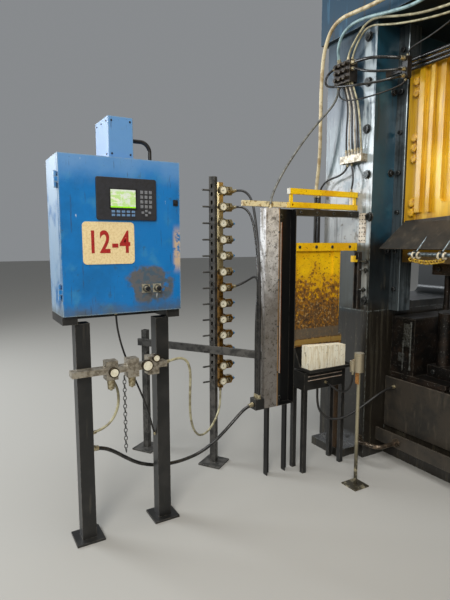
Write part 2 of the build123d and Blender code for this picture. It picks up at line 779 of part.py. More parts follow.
# Slide: a welded box with wings between the gibs and upright ribs on its front and rear
with BuildPart() as slide:
    with BuildSketch(Plane.XY.offset(slide_bottom)):
        Rectangle(2 * slide_half, -2 * slide_front)
        Rectangle(opening_width - 2 * wing_gap, -2 * wing_front)
    extrude(amount=slide_height)
    panel_half = slide_half - inner_rib_place - inner_rib
    for side in (-1, 1):
        slide_face = Plane(origin=(0, side * slide_front, slide_bottom), x_dir=(side, 0, 0), z_dir=(0, -side, 0))
        with BuildSketch(slide_face):
            for sx in (-1, 1):
                with Locations((sx * (slide_half - outer_rib_place), rib_foot_gap)):
                    Rectangle(outer_rib, slide_height - rib_foot_gap, align=(Align.CENTER, Align.MIN))
                with Locations((sx * (slide_half - inner_rib_place), rib_foot_gap)):
                    Rectangle(inner_rib, slide_height - rib_foot_gap, align=(Align.CENTER, Align.MIN))
        extrude(amount=rib_depth)
        with BuildSketch(slide_face):
            with Locations((0, (rib_foot_gap + slide_height) / 2)):
                with GridLocations(panel_half + panel_margin / 4, 0, 2, 1):
                    RectangleRounded(
                        panel_half - panel_margin, slide_height - rib_foot_gap - panel_margin, panel_depth
                    )
        extrude(amount=-panel_depth, mode=Mode.SUBTRACT)
    with BuildSketch(Plane.XY.offset(slide_top)):
        with Locations((-plunger_place, 0), (plunger_place, 0)):
            Circle(boss_diameter / 2)
    extrude(amount=boss_height)
save(slide, "slide")

# Plungers join the slide to the drive inside the crown
with BuildPart() as plungers:
    with BuildSketch(Plane.XY.offset(slide_top + boss_height)):
        with Locations((-plunger_place, 0), (plunger_place, 0)):
            Circle(plunger_diameter / 2)
    extrude(amount=plunger_length)
save(plungers, "plungers")

# Skirt: a flared sheet in front of the slide's lower edge
skirt_top = slide_bottom + skirt_top_height
skirt_slope = Vector(0, -skirt_reach, -skirt_drop).normalized()
skirt_plane = Plane(
    origin=(0, slide_front, skirt_top), x_dir=(1, 0, 0), z_dir=Vector(0, skirt_slope.Z, -skirt_slope.Y)
)
skirt_run = (skirt_reach**2 + skirt_drop**2) ** 0.5
skirt_top_half = slide_half - skirt_inset
with BuildPart() as slide_skirt:
    with BuildSketch(skirt_plane):
        with BuildLine():
            Polyline(
                (-skirt_top_half - skirt_flare, -skirt_run),
                (skirt_top_half + skirt_flare, -skirt_run),
                (skirt_top_half, 0),
                (-skirt_top_half, 0),
                close=True,
            )
        make_face()
    extrude(amount=skirt_thickness)
    with BuildSketch(Plane.XZ.offset(-slide_front)):
        with BuildLine():
            Polyline(
                (-skirt_top_half, skirt_top - skirt_thickness),
                (skirt_top_half, skirt_top - skirt_thickness),
                (skirt_top_half, skirt_top + skirt_edge),
                (skirt_top_half / 2, skirt_top + skirt_peak),
                (-skirt_top_half / 2, skirt_top + skirt_peak),
                (-skirt_top_half, skirt_top + skirt_edge),
                close=True,
            )
        make_face()
    extrude(amount=skirt_thickness)
    split(bisect_by=Plane.XZ.offset(-slide_front), keep=Keep.TOP)
save(slide_skirt, "slide_skirt")

# Knockout bar hung in front of the skirt on ringed arms
bar_y = slide_front - knockout_reach
bar_z = slide_bottom + knockout_lift
ring_radius = knockout_diameter / 2 + ring_thickness / 2
with BuildPart() as knockout_bar:
    with BuildSketch(Plane.YZ):
        with Locations((bar_y, bar_z)):
            Circle(knockout_diameter / 2)
    extrude(amount=knockout_half, both=True)
    for arm_x in arm_places:
        with BuildSketch(Plane.YZ.offset(arm_x)):
            with Locations((bar_y, bar_z)):
                Circle(ring_radius + ring_thickness / 2)
        extrude(amount=ring_thickness / 2, both=True)
        arm_foot = Vector(arm_x, bar_y, bar_z)
        arm_head = Vector(arm_x, slide_front - skirt_reach / 2, skirt_top - skirt_drop / 2)
        arm = Plane(origin=arm_foot, z_dir=arm_head - arm_foot)
        with BuildSketch(arm):
            Circle(arm_diameter / 2)
        extrude(amount=(arm_head - arm_foot).length)
    split(bisect_by=skirt_plane.offset(skirt_thickness), keep=Keep.TOP)
save(knockout_bar, "knockout_bar")

# Upper die: shoe, punch block and four guide posts
post_x = shoe_width / 2 - post_inset
post_y = shoe_depth / 2 - post_inset
die_top = bolster_top + shoe_thickness + die_block_height
punch_bottom = die_top + stroke + shut_gap
upper_shoe_bottom = slide_bottom - shoe_thickness
with BuildPart() as upper_die:
    with BuildSketch(Plane.XY.offset(upper_shoe_bottom)):
        Rectangle(shoe_width, shoe_depth)
    extrude(amount=shoe_thickness)
    with BuildSketch(Plane.XY.offset(punch_bottom)):
        Rectangle(punch_width, punch_depth)
    extrude(amount=upper_shoe_bottom - punch_bottom)
    with BuildSketch(Plane.XY.offset(upper_shoe_bottom - post_length)):
        with GridLocations(2 * post_x, 2 * post_y, 2, 2):
            Circle(post_diameter / 2)
    extrude(amount=post_length)
save(upper_die, "upper_die")

# Lower die: shoe, die block and four bored columns for the guide posts
with BuildPart() as lower_die:
    with BuildSketch(Plane.XY.offset(bolster_top)):
        Rectangle(shoe_width, shoe_depth)
    extrude(amount=shoe_thickness)
    with BuildSketch(Plane.XY.offset(bolster_top + shoe_thickness)):
        Rectangle(punch_width, punch_depth)
    extrude(amount=die_block_height)
    with BuildSketch(Plane.XY.offset(bolster_top + shoe_thickness)):
        with GridLocations(2 * post_x, 2 * post_y, 2, 2):
            Circle(column_diameter / 2)
    extrude(amount=column_height)
    column_top = bolster_top + shoe_thickness + column_height
    with BuildSketch(Plane.XY.offset(column_top)):
        with GridLocations(2 * post_x, 2 * post_y, 2, 2):
            Circle(post_diameter / 2 + post_clearance)
    extrude(amount=-column_socket, mode=Mode.SUBTRACT)
save(lower_die, "lower_die")

# Cover plate and oil ledge on the bed front
with BuildPart() as front_plate:
    with BuildSketch(Plane.XZ.offset(-bed_front)):
        with Locations((0, ledge_top)):
            Rectangle(opening_width - 2 * cover_gap, plate_top - ledge_top, align=(Align.CENTER, Align.MIN))
    extrude(amount=plate_thickness)
    chamfer(front_plate.edges().filter_by(Axis.X).group_by(Axis.Y)[0], cover_chamfer)
save(front_plate, "front_plate")

with BuildPart() as front_ledge:
    with BuildSketch(Plane.YZ):
        with BuildLine():
            Polyline(
                (bed_front, ledge_bottom),
                (bed_front - ledge_reach, ledge_bottom),
                (bed_front - ledge_reach, ledge_top),
                (bed_front - ledge_reach + ledge_web, ledge_top),
                (bed_front - ledge_reach + ledge_web, ledge_bottom + ledge_web),
                (bed_front, ledge_bottom + ledge_web),
                close=True,
            )
        make_face()
    extrude(amount=opening_width / 2 - cover_gap, both=True)
save(front_ledge, "front_ledge")

# Flywheel and belt cover on the crown's rear face
motor_z = crown_top + motor_base + motor_lift
with BuildPart() as flywheel_cover:
    with BuildSketch(Plane.XZ.offset(-crown_rear)):
        with BuildLine():
            CenterArc((drum_x, drum_height), drum_diameter / 2, 0, 360)
            CenterArc((motor_x, motor_z), pulley_cover_diameter / 2, 0, 360)
        make_hull()
    extrude(amount=-drum_depth)
    chamfer(flywheel_cover.edges().group_by(Axis.Y)[-1], crown_overhang / 2)
save(flywheel_cover, "flywheel_cover")

# Main motor on its base
motor_front = crown_rear - motor_gap - motor_length
with BuildPart() as main_motor:
    with BuildSketch(Plane.XY.offset(crown_top)):
        with Locations((motor_x, motor_front + motor_length / 2)):
            Rectangle(motor_base_width, motor_length)
    extrude(amount=motor_base)
    with BuildSketch(Plane.XY.offset(crown_top + motor_base)):
        with Locations((motor_x, motor_front + motor_length / 2)):
            Rectangle(motor_foot_width, motor_foot_length)
    extrude(amount=motor_lift)
    with BuildSketch(Plane.XZ.offset(-motor_front)):
        with Locations((motor_x, motor_z)):
            Circle(motor_diameter / 2)
    extrude(amount=-motor_length)
    with BuildSketch(Plane.XZ.offset(-motor_front - motor_length)):
        with Locations((motor_x, motor_z)):
            Circle(motor_shaft / 2)
    extrude(amount=-motor_gap)
save(main_motor, "main_motor")

# Air tank on saddles on the crown
tank_z = crown_top + saddle_height + tank_diameter / 2
with BuildPart() as air_tank:
    with BuildSketch(Plane.YZ.offset(tank_x - tank_length / 2)):
        with Locations((tank_y, tank_z)):
            Circle(tank_diameter / 2)
    extrude(amount=tank_length)
    fillet(air_tank.edges().filter_by(GeomType.CIRCLE), tank_end_radius)
    with BuildSketch(Plane.XY.offset(crown_top)):
        with Locations((tank_x, tank_y)):
            with GridLocations(saddle_pitch, 0, 2, 1):
                Rectangle(saddle_width, saddle_depth)
    extrude(amount=saddle_height + saddle_rise)
save(air_tank, "air_tank")

# Guard bars: two rails with links and a forward arm
with BuildPart() as left_guard_bars:
    for bar_z_low in (lower_bar, upper_bar):
        with BuildSketch(Plane.XZ.offset(-front_y)):
            with Locations((-guard_x, bar_z_low)):
                Rectangle(bar_thickness, bar_height, align=(Align.CENTER, Align.MIN))
        extrude(amount=bar_front + front_y)
    with BuildSketch(Plane.XY.offset(lower_bar + bar_height)):
        with Locations((-guard_x, front_y - link_size), (-guard_x, link_size - bar_front)):
            Rectangle(link_size, link_size)
    extrude(amount=upper_bar - lower_bar - bar_height)
    with BuildSketch(Plane.XZ.offset(guard_front - arm_root)):
        with Locations((-guard_x - (bar_thickness + arm_section) / 2, lower_bar + bar_height / 2)):
            Rectangle(arm_section, arm_height)
    extrude(amount=arm_reach + arm_root)
    with BuildSketch(Plane.YZ.offset(-guard_x - bar_thickness / 2)):
        with Locations((-guard_front - arm_root / 2, lower_bar + bar_height / 2)):
            Circle(pivot_diameter / 2)
    extrude(amount=bar_thickness + arm_section, both=True, mode=Mode.SUBTRACT)
save(left_guard_bars, "left_guard_bars")
save_mirrored(left_guard_bars, "right_guard_bars")

# Guard panel: top rail, header, sheet and stile
with BuildPart() as left_guard_panel:
    with BuildSketch(Plane.XZ.offset(-front_y)):
        with Locations((-guard_x, rail_bottom)):
            Rectangle(rail_width, rail_height, align=(Align.CENTER, Align.MIN))
    extrude(amount=guard_front + front_y)
    with BuildSketch(Plane.XY.offset(panel_bottom)):
        with Locations((-guard_x, -guard_front)):
            Rectangle(panel_thickness, guard_front - panel_rear, align=(Align.CENTER, Align.MIN))
        with Locations((-guard_x, -panel_rear)):
            Rectangle(stile_depth, stile_width, align=(Align.CENTER, Align.MAX))
        with Locations((-guard_x, -guard_front)):
            Rectangle(stile_depth, front_stile_width, align=(Align.CENTER, Align.MIN))
    extrude(amount=rail_bottom - panel_bottom)
    with BuildSketch(Plane.XY.offset(foot_height)):
        with Locations((-guard_x, -panel_rear)):
            Rectangle(stile_depth, stile_depth, align=(Align.CENTER, Align.MIN))
    extrude(amount=panel_bottom + stile_width - foot_height)
save(left_guard_panel, "left_guard_panel")
save_mirrored(left_guard_panel, "right_guard_panel")

with BuildPart() as left_header:
    with BuildSketch(Plane.XZ.offset(-front_y)):
        with Locations((-guard_x, header_bottom)):
            Rectangle(header_width, header_height, align=(Align.CENTER, Align.MIN))
    extrude(amount=guard_front + front_y)
save(left_header, "left_header")
save_mirrored(left_header, "right_header")

# Light curtain: angle legs, stained sheet and a channel that holds the emitter
curtain_rear_y = -guard_front
channel_front_y = curtain_rear_y - channel_width
curtain_top = header_top
with BuildPart() as left_light_curtain:
    with BuildSketch(Plane.XY.offset(curtain_bottom)):
        with Locations((-guard_x, curtain_rear_y)):
            Rectangle(curtain_depth, curtain_rear_y - channel_front_y, align=(Align.CENTER, Align.MAX))
        with Locations((-guard_x + channel_wall, curtain_rear_y - channel_wall)):
            Rectangle(
                curtain_depth,
                curtain_rear_y - channel_front_y - 2 * channel_wall,
                align=(Align.CENTER, Align.MAX),
                mode=Mode.SUBTRACT,
            )
        with Locations((-guard_x, channel_front_y)):
            Rectangle(curtain_depth, sheet_width, align=(Align.CENTER, Align.MAX))
    extrude(amount=curtain_top - curtain_bottom)
    with BuildSketch(Plane.XY.offset(curtain_bottom)):
        with Locations((-guard_x, curtain_rear_y)):
            Rectangle(curtain_depth, curtain_rear_y - channel_front_y, align=(Align.CENTER, Align.MAX))
    extrude(amount=channel_wall)
    with BuildSketch():
        for leg_y in (channel_front_y - sheet_width / 2, curtain_rear_y - leg_size):
            with Locations((-guard_x, leg_y)):
                Rectangle(leg_size, leg_size)
            with Locations((-guard_x + leg_wall / 2, leg_y + leg_wall / 2)):
                Rectangle(leg_size - leg_wall, leg_size - leg_wall, mode=Mode.SUBTRACT)
    extrude(amount=curtain_bottom)
save(left_light_curtain, "left_light_curtain")
save_mirrored(left_light_curtain, "right_light_curtain")

emitter_y = channel_front_y + channel_wall + emitter_clearance + emitter_width / 2
emitter_x = -guard_x - curtain_depth / 2 + channel_wall
with BuildPart() as left_emitter:
    with BuildSketch(Plane.XY.offset(curtain_bottom + channel_wall)):
        with Locations((emitter_x, emitter_y)):
            Rectangle(emitter_depth, emitter_width, align=(Align.MIN, Align.CENTER))
        with Locations((emitter_x + emitter_depth, emitter_y)):
            Rectangle(lens_depth, lens_width, align=(Align.MIN, Align.CENTER))
    extrude(amount=curtain_top - curtain_bottom - 3 * channel_wall)
save(left_emitter, "left_emitter")
save_mirrored(left_emitter, "right_emitter")

# Parts chute below the left guard panel, with two wooden blocks in it
chute_x = -guard_x + panel_thickness / 2
chute_y = -guard_front + front_stile_width
with BuildPart() as parts_chute:
    with BuildSketch(Plane.XZ.offset(-chute_y)):
        with BuildLine():
            Polyline(
                (chute_x - stile_depth, panel_bottom),
                (chute_x - stile_depth, chute_bottom),
                (chute_x + chute_reach, chute_bottom),
                (chute_x + chute_reach, chute_bottom + chute_lip),
                (chute_x + chute_gusset, chute_bottom + chute_lip),
                (chute_x, panel_bottom),
                close=True,
            )
        make_face()
    extrude(amount=-chute_length)
    with BuildSketch(Plane.XZ.offset(-chute_y - chute_wall)):
        with BuildLine():
            Polyline(
                (chute_x - stile_depth + chute_wall, panel_bottom),
                (chute_x - stile_depth + chute_wall, chute_bottom + chute_wall),
                (chute_x + chute_reach - chute_wall, chute_bottom + chute_wall),
                (chute_x + chute_reach - chute_wall, panel_bottom),
                close=True,
            )
        make_face()
    extrude(amount=-chute_length + 2 * chute_wall, mode=Mode.SUBTRACT)
save(parts_chute, "parts_chute")

with BuildPart() as chute_blocks:
    with BuildSketch(Plane.XY.offset(chute_bottom + chute_wall)):
        with Locations((chute_x + chute_reach / 2, chute_y + chute_length / 2)):
            with GridLocations(0, block_length + block_gap, 1, 2):
                Rectangle(block_width, block_length)
    extrude(amount=block_height)
    block_lean = Plane(
        origin=(chute_x + chute_reach / 2, chute_y, chute_bottom + chute_wall + block_height)
    ).rotated((block_tilt, 0, 0))
    split(bisect_by=block_lean, keep=Keep.BOTTOM)
save(chute_blocks, "chute_blocks")

# Pedestal: a dark console with two slots that carries the chute
pedestal_x = chute_x + pedestal_depth / 2 - stile_depth
pedestal_y = chute_y + pedestal_length / 2
pedestal_top = chute_bottom - pedestal_neck
with BuildPart() as pedestal:
    with BuildSketch(Plane.XY.offset(pedestal_top)):
        with Locations((pedestal_x, pedestal_y)):
            Rectangle(pedestal_depth, pedestal_length)
    extrude(amount=-pedestal_height)
    with BuildSketch(Plane.XY.offset(pedestal_top)):
        with Locations((pedestal_x, pedestal_y)):
            Rectangle(neck_depth, neck_length)
    extrude(amount=pedestal_neck)
    with BuildSketch(Plane.YZ.offset(pedestal_x + pedestal_depth / 2)):
        with Locations((pedestal_y, pedestal_top - slot_drop)):
            with GridLocations(0, slot_pitch_z, 1, 2):
                SlotOverall(slot_length, slot_height)
    extrude(amount=-slot_depth, mode=Mode.SUBTRACT)
    with BuildSketch():
        with Locations((pedestal_x, pedestal_y)):
            with GridLocations(pedestal_depth - pedestal_leg, pedestal_length - pedestal_leg, 2, 2):
                Rectangle(pedestal_leg, pedestal_leg)
    extrude(amount=pedestal_top - pedestal_height)
save(pedestal, "pedestal")

# Hose fittings: a distribution block and the cluster plate above it
with BuildPart() as distribution_block:
    with BuildSketch(Plane.XZ.offset(-front_y)):
        with Locations((manifold_block_x, manifold_block_z)):
            Rectangle(manifold_block_length, manifold_block_height, align=(Align.CENTER, Align.MIN))
    extrude(amount=manifold_block_depth)
    with BuildSketch(Plane.XY.offset(manifold_block_z + manifold_block_height)):
        with Locations((manifold_block_x, front_y - manifold_block_depth / 2)):
            with GridLocations(fitting_pitch, 0, fitting_count, 1):
                Circle(fitting_diameter / 2)
    extrude(amount=fitting_length)
save(distribution_block, "distribution_block")

with BuildPart() as hose_cluster:
    with BuildSketch(Plane.XZ.offset(-front_y)):
        with Locations((cluster_x, cluster_z)):
            Rectangle(cluster_width, cluster_height, align=(Align.CENTER, Align.MIN))
    extrude(amount=cluster_depth)
    with BuildSketch(Plane.XZ.offset(-front_y + cluster_depth)):
        with Locations((cluster_x, cluster_z + cluster_height / 2)):
            with GridLocations(union_pitch, union_pitch, 3, 3):
                RegularPolygon(union_diameter / 2, 6)
    extrude(amount=union_length)
save(hose_cluster, "hose_cluster")

drop_tubes = [
    hose([(x + (i - (fitting_count - 1) / 2) * pitch, y, z) for x, pitch, y, z in drop_route], drop_hose)
    for i in range(fitting_count)
]
with BuildPart() as drop_hoses:
    add(drop_tubes)
save(drop_hoses, "drop_hoses")

# Brackets on the left upright: a clamp rail with its hook, a riveted plate and the bracket of the hoses
clamp_top = rail_bottom - cover_gap
with BuildPart() as front_brackets:
    with BuildSketch(Plane.XY.offset(clamp_bottom)):
        with Locations((clamp_x, front_y)):
            Rectangle(clamp_width, clamp_depth, align=(Align.CENTER, Align.MAX))
        with Locations((clamp_x, front_y - clamp_wall)):
            Rectangle(
                clamp_width - 2 * clamp_wall, clamp_depth, align=(Align.CENTER, Align.MAX), mode=Mode.SUBTRACT
            )
    extrude(amount=clamp_top - clamp_bottom)
    with BuildSketch(Plane.YZ.offset(clamp_x)):
        with BuildLine():
            Polyline(
                (front_y, clamp_top - clamp_head),
                (front_y - hook_reach, clamp_top - clamp_head),
                (front_y - hook_reach, clamp_top - clamp_head + hook_lip),
                (front_y - hook_reach + hook_height, clamp_top - clamp_head + hook_lip),
                (front_y - hook_reach + hook_height, clamp_top - clamp_head + hook_height),
                (front_y, clamp_top - clamp_head + hook_height),
                close=True,
            )
        make_face()
    extrude(amount=clamp_width / 2 - clamp_wall, both=True)
    with BuildSketch(Plane.XZ.offset(-front_y)):
        with Locations((-guard_x + header_width / 2 + cover_gap, rail_bottom + rail_height)):
            Rectangle(
                rivet_plate_width, header_top - rail_bottom - rail_height - rivet_plate_gap,
                align=(Align.MIN, Align.MIN),
            )
    extrude(amount=rivet_plate_thickness)
    with BuildSketch(Plane.XY.offset(hose_end_bottom)):
        with Locations((hose_end_x, hose_end_y)):
            Rectangle(hose_end_width, hose_end_width, align=(Align.MIN, Align.CENTER))
    extrude(amount=hose_end_height)
    with BuildSketch(Plane.XY.offset(hose_end_bottom + (hose_end_height - hose_arm_height) / 2)):
        with Locations((hose_end_x, hose_end_y)):
            Rectangle(hose_end_x + opening_width / 2, hose_arm_thickness, align=(Align.MAX, Align.CENTER))
    extrude(amount=hose_arm_height)
save(front_brackets, "front_brackets")

# Two pipes on the upright's outer corner run down into a block on the bed
with BuildPart() as riser_pipes:
    with BuildSketch(Plane.XY.offset(pipe_block_bottom)):
        with Locations((pipe_x, pipe_y)):
            with GridLocations(pipe_pitch, 0, 2, 1):
                Circle(pipe_diameter / 2)
    extrude(amount=pipe_top - pipe_block_bottom)
    with BuildSketch(Plane.XY.offset(pipe_block_bottom)):
        with Locations((pipe_x, front_y)):
            Rectangle(pipe_block_width, pipe_block_depth, align=(Align.CENTER, Align.MAX))
    extrude(amount=pipe_block_height)
    for clip_z in pipe_clip_places:
        with BuildSketch(Plane.XY.offset(clip_z)):
            with Locations((pipe_x, front_y)):
                Rectangle(pipe_block_width, front_y - pipe_y, align=(Align.CENTER, Align.MAX))
        extrude(amount=pipe_clip_height)
save(riser_pipes, "riser_pipes")

# Terminal boxes: one on the crown's front, one at the foot of the light curtain
with BuildPart() as terminal_boxes:
    with BuildSketch(Plane.XZ.offset(crown_rear)):
        with Locations((0, crown_bottom + crown_box_lift)):
            Rectangle(crown_box_width, crown_box_height, align=(Align.CENTER, Align.MIN))
    extrude(amount=crown_box_depth)
    with BuildSketch(Plane.XY.offset(curtain_bottom)):
        with Locations((-guard_x, channel_front_y - sheet_width)):
            Rectangle(floor_box_width, floor_box_depth, align=(Align.CENTER, Align.MAX))
    extrude(amount=floor_box_height)
save(terminal_boxes, "terminal_boxes")

# Service pipes: the oil ledge's drain and a standpipe with a regulator
ledge_front = bed_front - ledge_reach
drain_start = Vector(drain_column_x, front_y, drain_z - drain_fall)
drain_end = Vector(drain_ledge_x, ledge_front, drain_z)
with BuildPart() as service_pipes:
    with BuildLine() as drain_line:
        FilletPolyline(
            drain_start,
            drain_start - Vector(0, drain_reach, 0),
            Vector(drain_ledge_x, front_y - drain_reach, drain_z),
            drain_end,
            radius=drain_radius,
        )
    with BuildSketch(Plane(origin=drain_start, z_dir=(0, -1, 0))):
        Circle(drain_diameter / 2)
    sweep()
    with BuildSketch(Plane(origin=drain_start, z_dir=(0, -1, 0))):
        Circle(drain_flange / 2)
    extrude(amount=drain_flange_thickness)
    with BuildSketch(Plane(origin=drain_end, z_dir=(0, -1, 0))):
        RegularPolygon(drain_flange / 2, 6)
    extrude(amount=drain_flange_thickness)
    with BuildSketch():
        with Locations((standpipe_x, standpipe_y)):
            Rectangle(standpipe_foot, standpipe_foot)
    extrude(amount=standpipe_foot_thickness)
    with BuildSketch():
        with Locations((standpipe_x, standpipe_y)):
            Circle(standpipe_diameter / 2)
    extrude(amount=standpipe_height)
    with BuildSketch(Plane.XY.offset(standpipe_height)):
        with Locations((standpipe_x, standpipe_y)):
            Circle(regulator_diameter / 2)
    extrude(amount=regulator_height)
    with BuildSketch(Plane.YZ.offset(standpipe_x)):
        with Locations((standpipe_y, standpipe_height + regulator_height / 2)):
            Circle(standpipe_diameter / 2)
    extrude(amount=-regulator_arm)
    with BuildSketch(Plane.XY.offset(standpipe_height + regulator_height / 2)):
        with Locations((standpipe_x - regulator_arm, standpipe_y)):
            Circle(bowl_diameter / 2)
    extrude(amount=-bowl_height)
save(service_pipes, "service_pipes")

# Three hoses clipped along the top of the slide's front
harness_y = slide_front - rib_depth - harness_hose / 2
with BuildPart() as slide_harness:
    with BuildSketch(Plane.YZ.offset(-slide_half)):
        with Locations((harness_y, slide_top - harness_drop)):
            with GridLocations(0, harness_pitch, 1, 3):
                Circle(harness_hose / 2)
    extrude(amount=2 * slide_half)
save(slide_harness, "slide_harness")

# Hoses between the crown, the cluster and the light curtain
crown_tubes = [hose(route, diameter) for diameter, route in crown_routes]
with BuildPart() as crown_hoses:
    add(crown_tubes)
save(crown_hoses, "crown_hoses")

# Black hoses in front of the left upright and the bed
front_tubes = [hose(route, diameter) for diameter, route in front_routes]
with BuildPart() as front_hoses:
    add(front_tubes)
save(front_hoses, "front_hoses")

# Hoses of the valve stand and the control cabinet
stand_tubes = [hose(route, diameter) for diameter, route in stand_routes]
with BuildPart() as stand_hoses:
    add(stand_tubes)
save(stand_hoses, "stand_hoses")

# Fence posts, rail and the valve stand share one upright plane
fence = Plane(
    origin=(fence_start_x, fence_start_y, 0),
    x_dir=Vector(1, 0, 0).rotate(Axis.Z, fence_angle),
    z_dir=(0, 0, 1),
)
post_slot_count = 2 * valve_count - 1
curtain_front = sheet_width - channel_front_y
with BuildPart() as fence_rail:
    with BuildSketch(fence.offset(fence_rail_z)):
        with Locations((0, (post_size + fence_rail_thickness) / 2)):
            Rectangle(2 * fence_length, fence_rail_thickness)
    extrude(amount=fence_rail_height)
    split(bisect_by=Plane.XZ.offset(curtain_front), keep=Keep.TOP)
    rail_end = Plane(origin=fence.from_local_coords(Vector(fence_length, 0, 0)), z_dir=fence.x_dir)
    split(bisect_by=rail_end, keep=Keep.BOTTOM)
save(fence_rail, "fence_rail")

with BuildPart() as rear_post:
    with BuildSketch(fence):
        with Locations((rear_post_place, 0)):
            Rectangle(foot_plate, foot_plate)
    extrude(amount=foot_plate_thickness)
    with BuildSketch(fence.offset(foot_plate_thickness)):
        with Locations((rear_post_place, 0)):
            Rectangle(post_size, post_size)
            Rectangle(post_size - 2 * post_wall, post_size - 2 * post_wall, mode=Mode.SUBTRACT)
    extrude(amount=fence_rail_z + 2 * fence_rail_height)
save(rear_post, "rear_post")

valve_middle = valve_first + (valve_count - 1) * valve_pitch / 2
with BuildPart() as valve_post:
    with BuildSketch(fence):
        with Locations((valve_post_place, 0)):
            Rectangle(foot_plate, foot_plate)
    extrude(amount=foot_plate_thickness)
    with BuildSketch(fence.offset(foot_plate_thickness)):
        with Locations((valve_post_place, 0)):
            Rectangle(post_size, post_size)
            Rectangle(post_size - 2 * post_wall, post_size - 2 * post_wall, mode=Mode.SUBTRACT)
    extrude(amount=valve_post_height)
    post_middle = Plane(
        origin=fence.from_local_coords(Vector(valve_post_place, 0, valve_middle + valve_pitch / 4)),
        x_dir=fence.x_dir,
        z_dir=-fence.y_dir,
    )
    with BuildSketch(post_middle):
        with GridLocations(0, valve_pitch / 2, 1, post_slot_count):
            RectangleRounded(post_slot_width, post_slot_height, post_slot_width / 3)
    extrude(amount=post_size, both=True, mode=Mode.SUBTRACT)
save(valve_post, "valve_post")

# Valve stack: a bar held off the post by stubs, with a valve and a gauge on each
valve_post_at = fence.from_local_coords(Vector(valve_post_place, 0, 0))
valve_bar_y = valve_post_at.Y + post_size + valve_bar_gap
with BuildPart() as valve_stack:
    with BuildSketch(Plane.XY.offset(valve_first - valve_pitch / 2)):
        with Locations((valve_post_at.X, valve_bar_y)):
            Rectangle(valve_bar, valve_bar)
    extrude(amount=valve_count * valve_pitch)
    for valve in range(valve_count):
        valve_z = valve_first + valve * valve_pitch
        with BuildSketch(Plane.XZ.offset(-valve_bar_y - valve_bar / 2)):
            with Locations((valve_post_at.X, valve_z)):
                RegularPolygon(valve_body / 2, 6)
        extrude(amount=-valve_body_depth)
        with BuildSketch(Plane.XZ.offset(-valve_bar_y - valve_bar / 2 - valve_body_depth)):
            with Locations((valve_post_at.X, valve_z)):
                Circle(valve_cap_diameter / 2)
        extrude(amount=-valve_cap_length)
        with BuildSketch(Plane.YZ.offset(valve_post_at.X + valve_bar / 2)):
            with Locations((valve_bar_y, valve_z)):
                Circle(gauge_diameter / 2)
        extrude(amount=gauge_depth)
save(valve_stack, "valve_stack")

with BuildPart() as valve_stubs:
    stub_end = valve_bar_y - valve_bar / 2
    stub_start = valve_post_at.Y - post_size / 2 - stub_length
    for valve in range(valve_count):
        with BuildSketch(Plane.XZ.offset(-stub_end)):
            with Locations((valve_post_at.X, valve_first + valve * valve_pitch)):
                Circle(stub_diameter / 2)
        extrude(amount=stub_end - stub_start)
    with BuildSketch(fence.offset(foot_plate_thickness)):
        with Locations((valve_post_place, 0)):
            Rectangle(post_size, post_size)
    extrude(amount=valve_post_height, mode=Mode.SUBTRACT)
    add(fence_rail.part, mode=Mode.SUBTRACT)
save(valve_stubs, "valve_stubs")

# Control cabinet shell with a mounting panel inside
body_front_x = cabinet_face_x - door_thickness - door_gap
cabinet_left = cabinet_y - cabinet_width / 2
cabinet_top = cabinet_bottom + cabinet_height
cabinet_mid_z = cabinet_bottom + cabinet_height / 2
hinge_x = cabinet_face_x - door_thickness / 2
hinge_y = cabinet_left - hinge_offset
hinge_heights = [cabinet_bottom + hinge_inset, cabinet_top - hinge_inset]
with BuildPart() as control_cabinet:
    with BuildSketch(Plane.YZ.offset(body_front_x - cabinet_depth)):
        with Locations((cabinet_y, cabinet_mid_z)):
            Rectangle(cabinet_width, cabinet_height)
    extrude(amount=cabinet_depth)
    with BuildSketch(Plane.YZ.offset(body_front_x - cabinet_depth + cabinet_wall)):
        with Locations((cabinet_y, cabinet_mid_z)):
            Rectangle(cabinet_width - 2 * cabinet_wall, cabinet_height - 2 * cabinet_wall)
    extrude(amount=cabinet_depth - 2 * cabinet_wall, mode=Mode.SUBTRACT)
    with BuildSketch(Plane.YZ.offset(body_front_x)):
        with Locations((cabinet_y, cabinet_mid_z)):
            RectangleRounded(cabinet_width - 2 * cabinet_lip, cabinet_height - 2 * cabinet_lip, cabinet_lip / 2)
    extrude(amount=-cabinet_wall, mode=Mode.SUBTRACT)
    with BuildSketch(Plane.YZ.offset(body_front_x - cabinet_depth + cabinet_wall)):
        with Locations((cabinet_y, cabinet_mid_z)):
            Rectangle(cabinet_width - 2 * mounting_margin, cabinet_height - 2 * mounting_margin)
    extrude(amount=cabinet_lip)
    for hinge_z in hinge_heights:
        for knuckle in (-1, 1):
            knuckle_z = hinge_z + knuckle * (hinge_knuckle + hinge_slot) - hinge_knuckle / 2
            with BuildSketch(Plane.XY.offset(knuckle_z)):
                with Locations((hinge_x, hinge_y)):
                    Circle(hinge_radius)
                with BuildLine():
                    Polyline(
                        (hinge_x, hinge_y),
                        (body_front_x, hinge_y - hinge_radius / 2),
                        (body_front_x - cabinet_lip, hinge_y),
                        (body_front_x - cabinet_lip, cabinet_left),
                        (body_front_x - cabinet_wall, cabinet_left),
                        close=True,
                    )
                make_face()
            extrude(amount=hinge_knuckle)
        with BuildSketch(Plane.XY.offset(hinge_z - hinge_knuckle)):
            with Locations((hinge_x, hinge_y)):
                Circle(hinge_pin)
        extrude(amount=2 * hinge_knuckle)
save(control_cabinet, "control_cabinet")

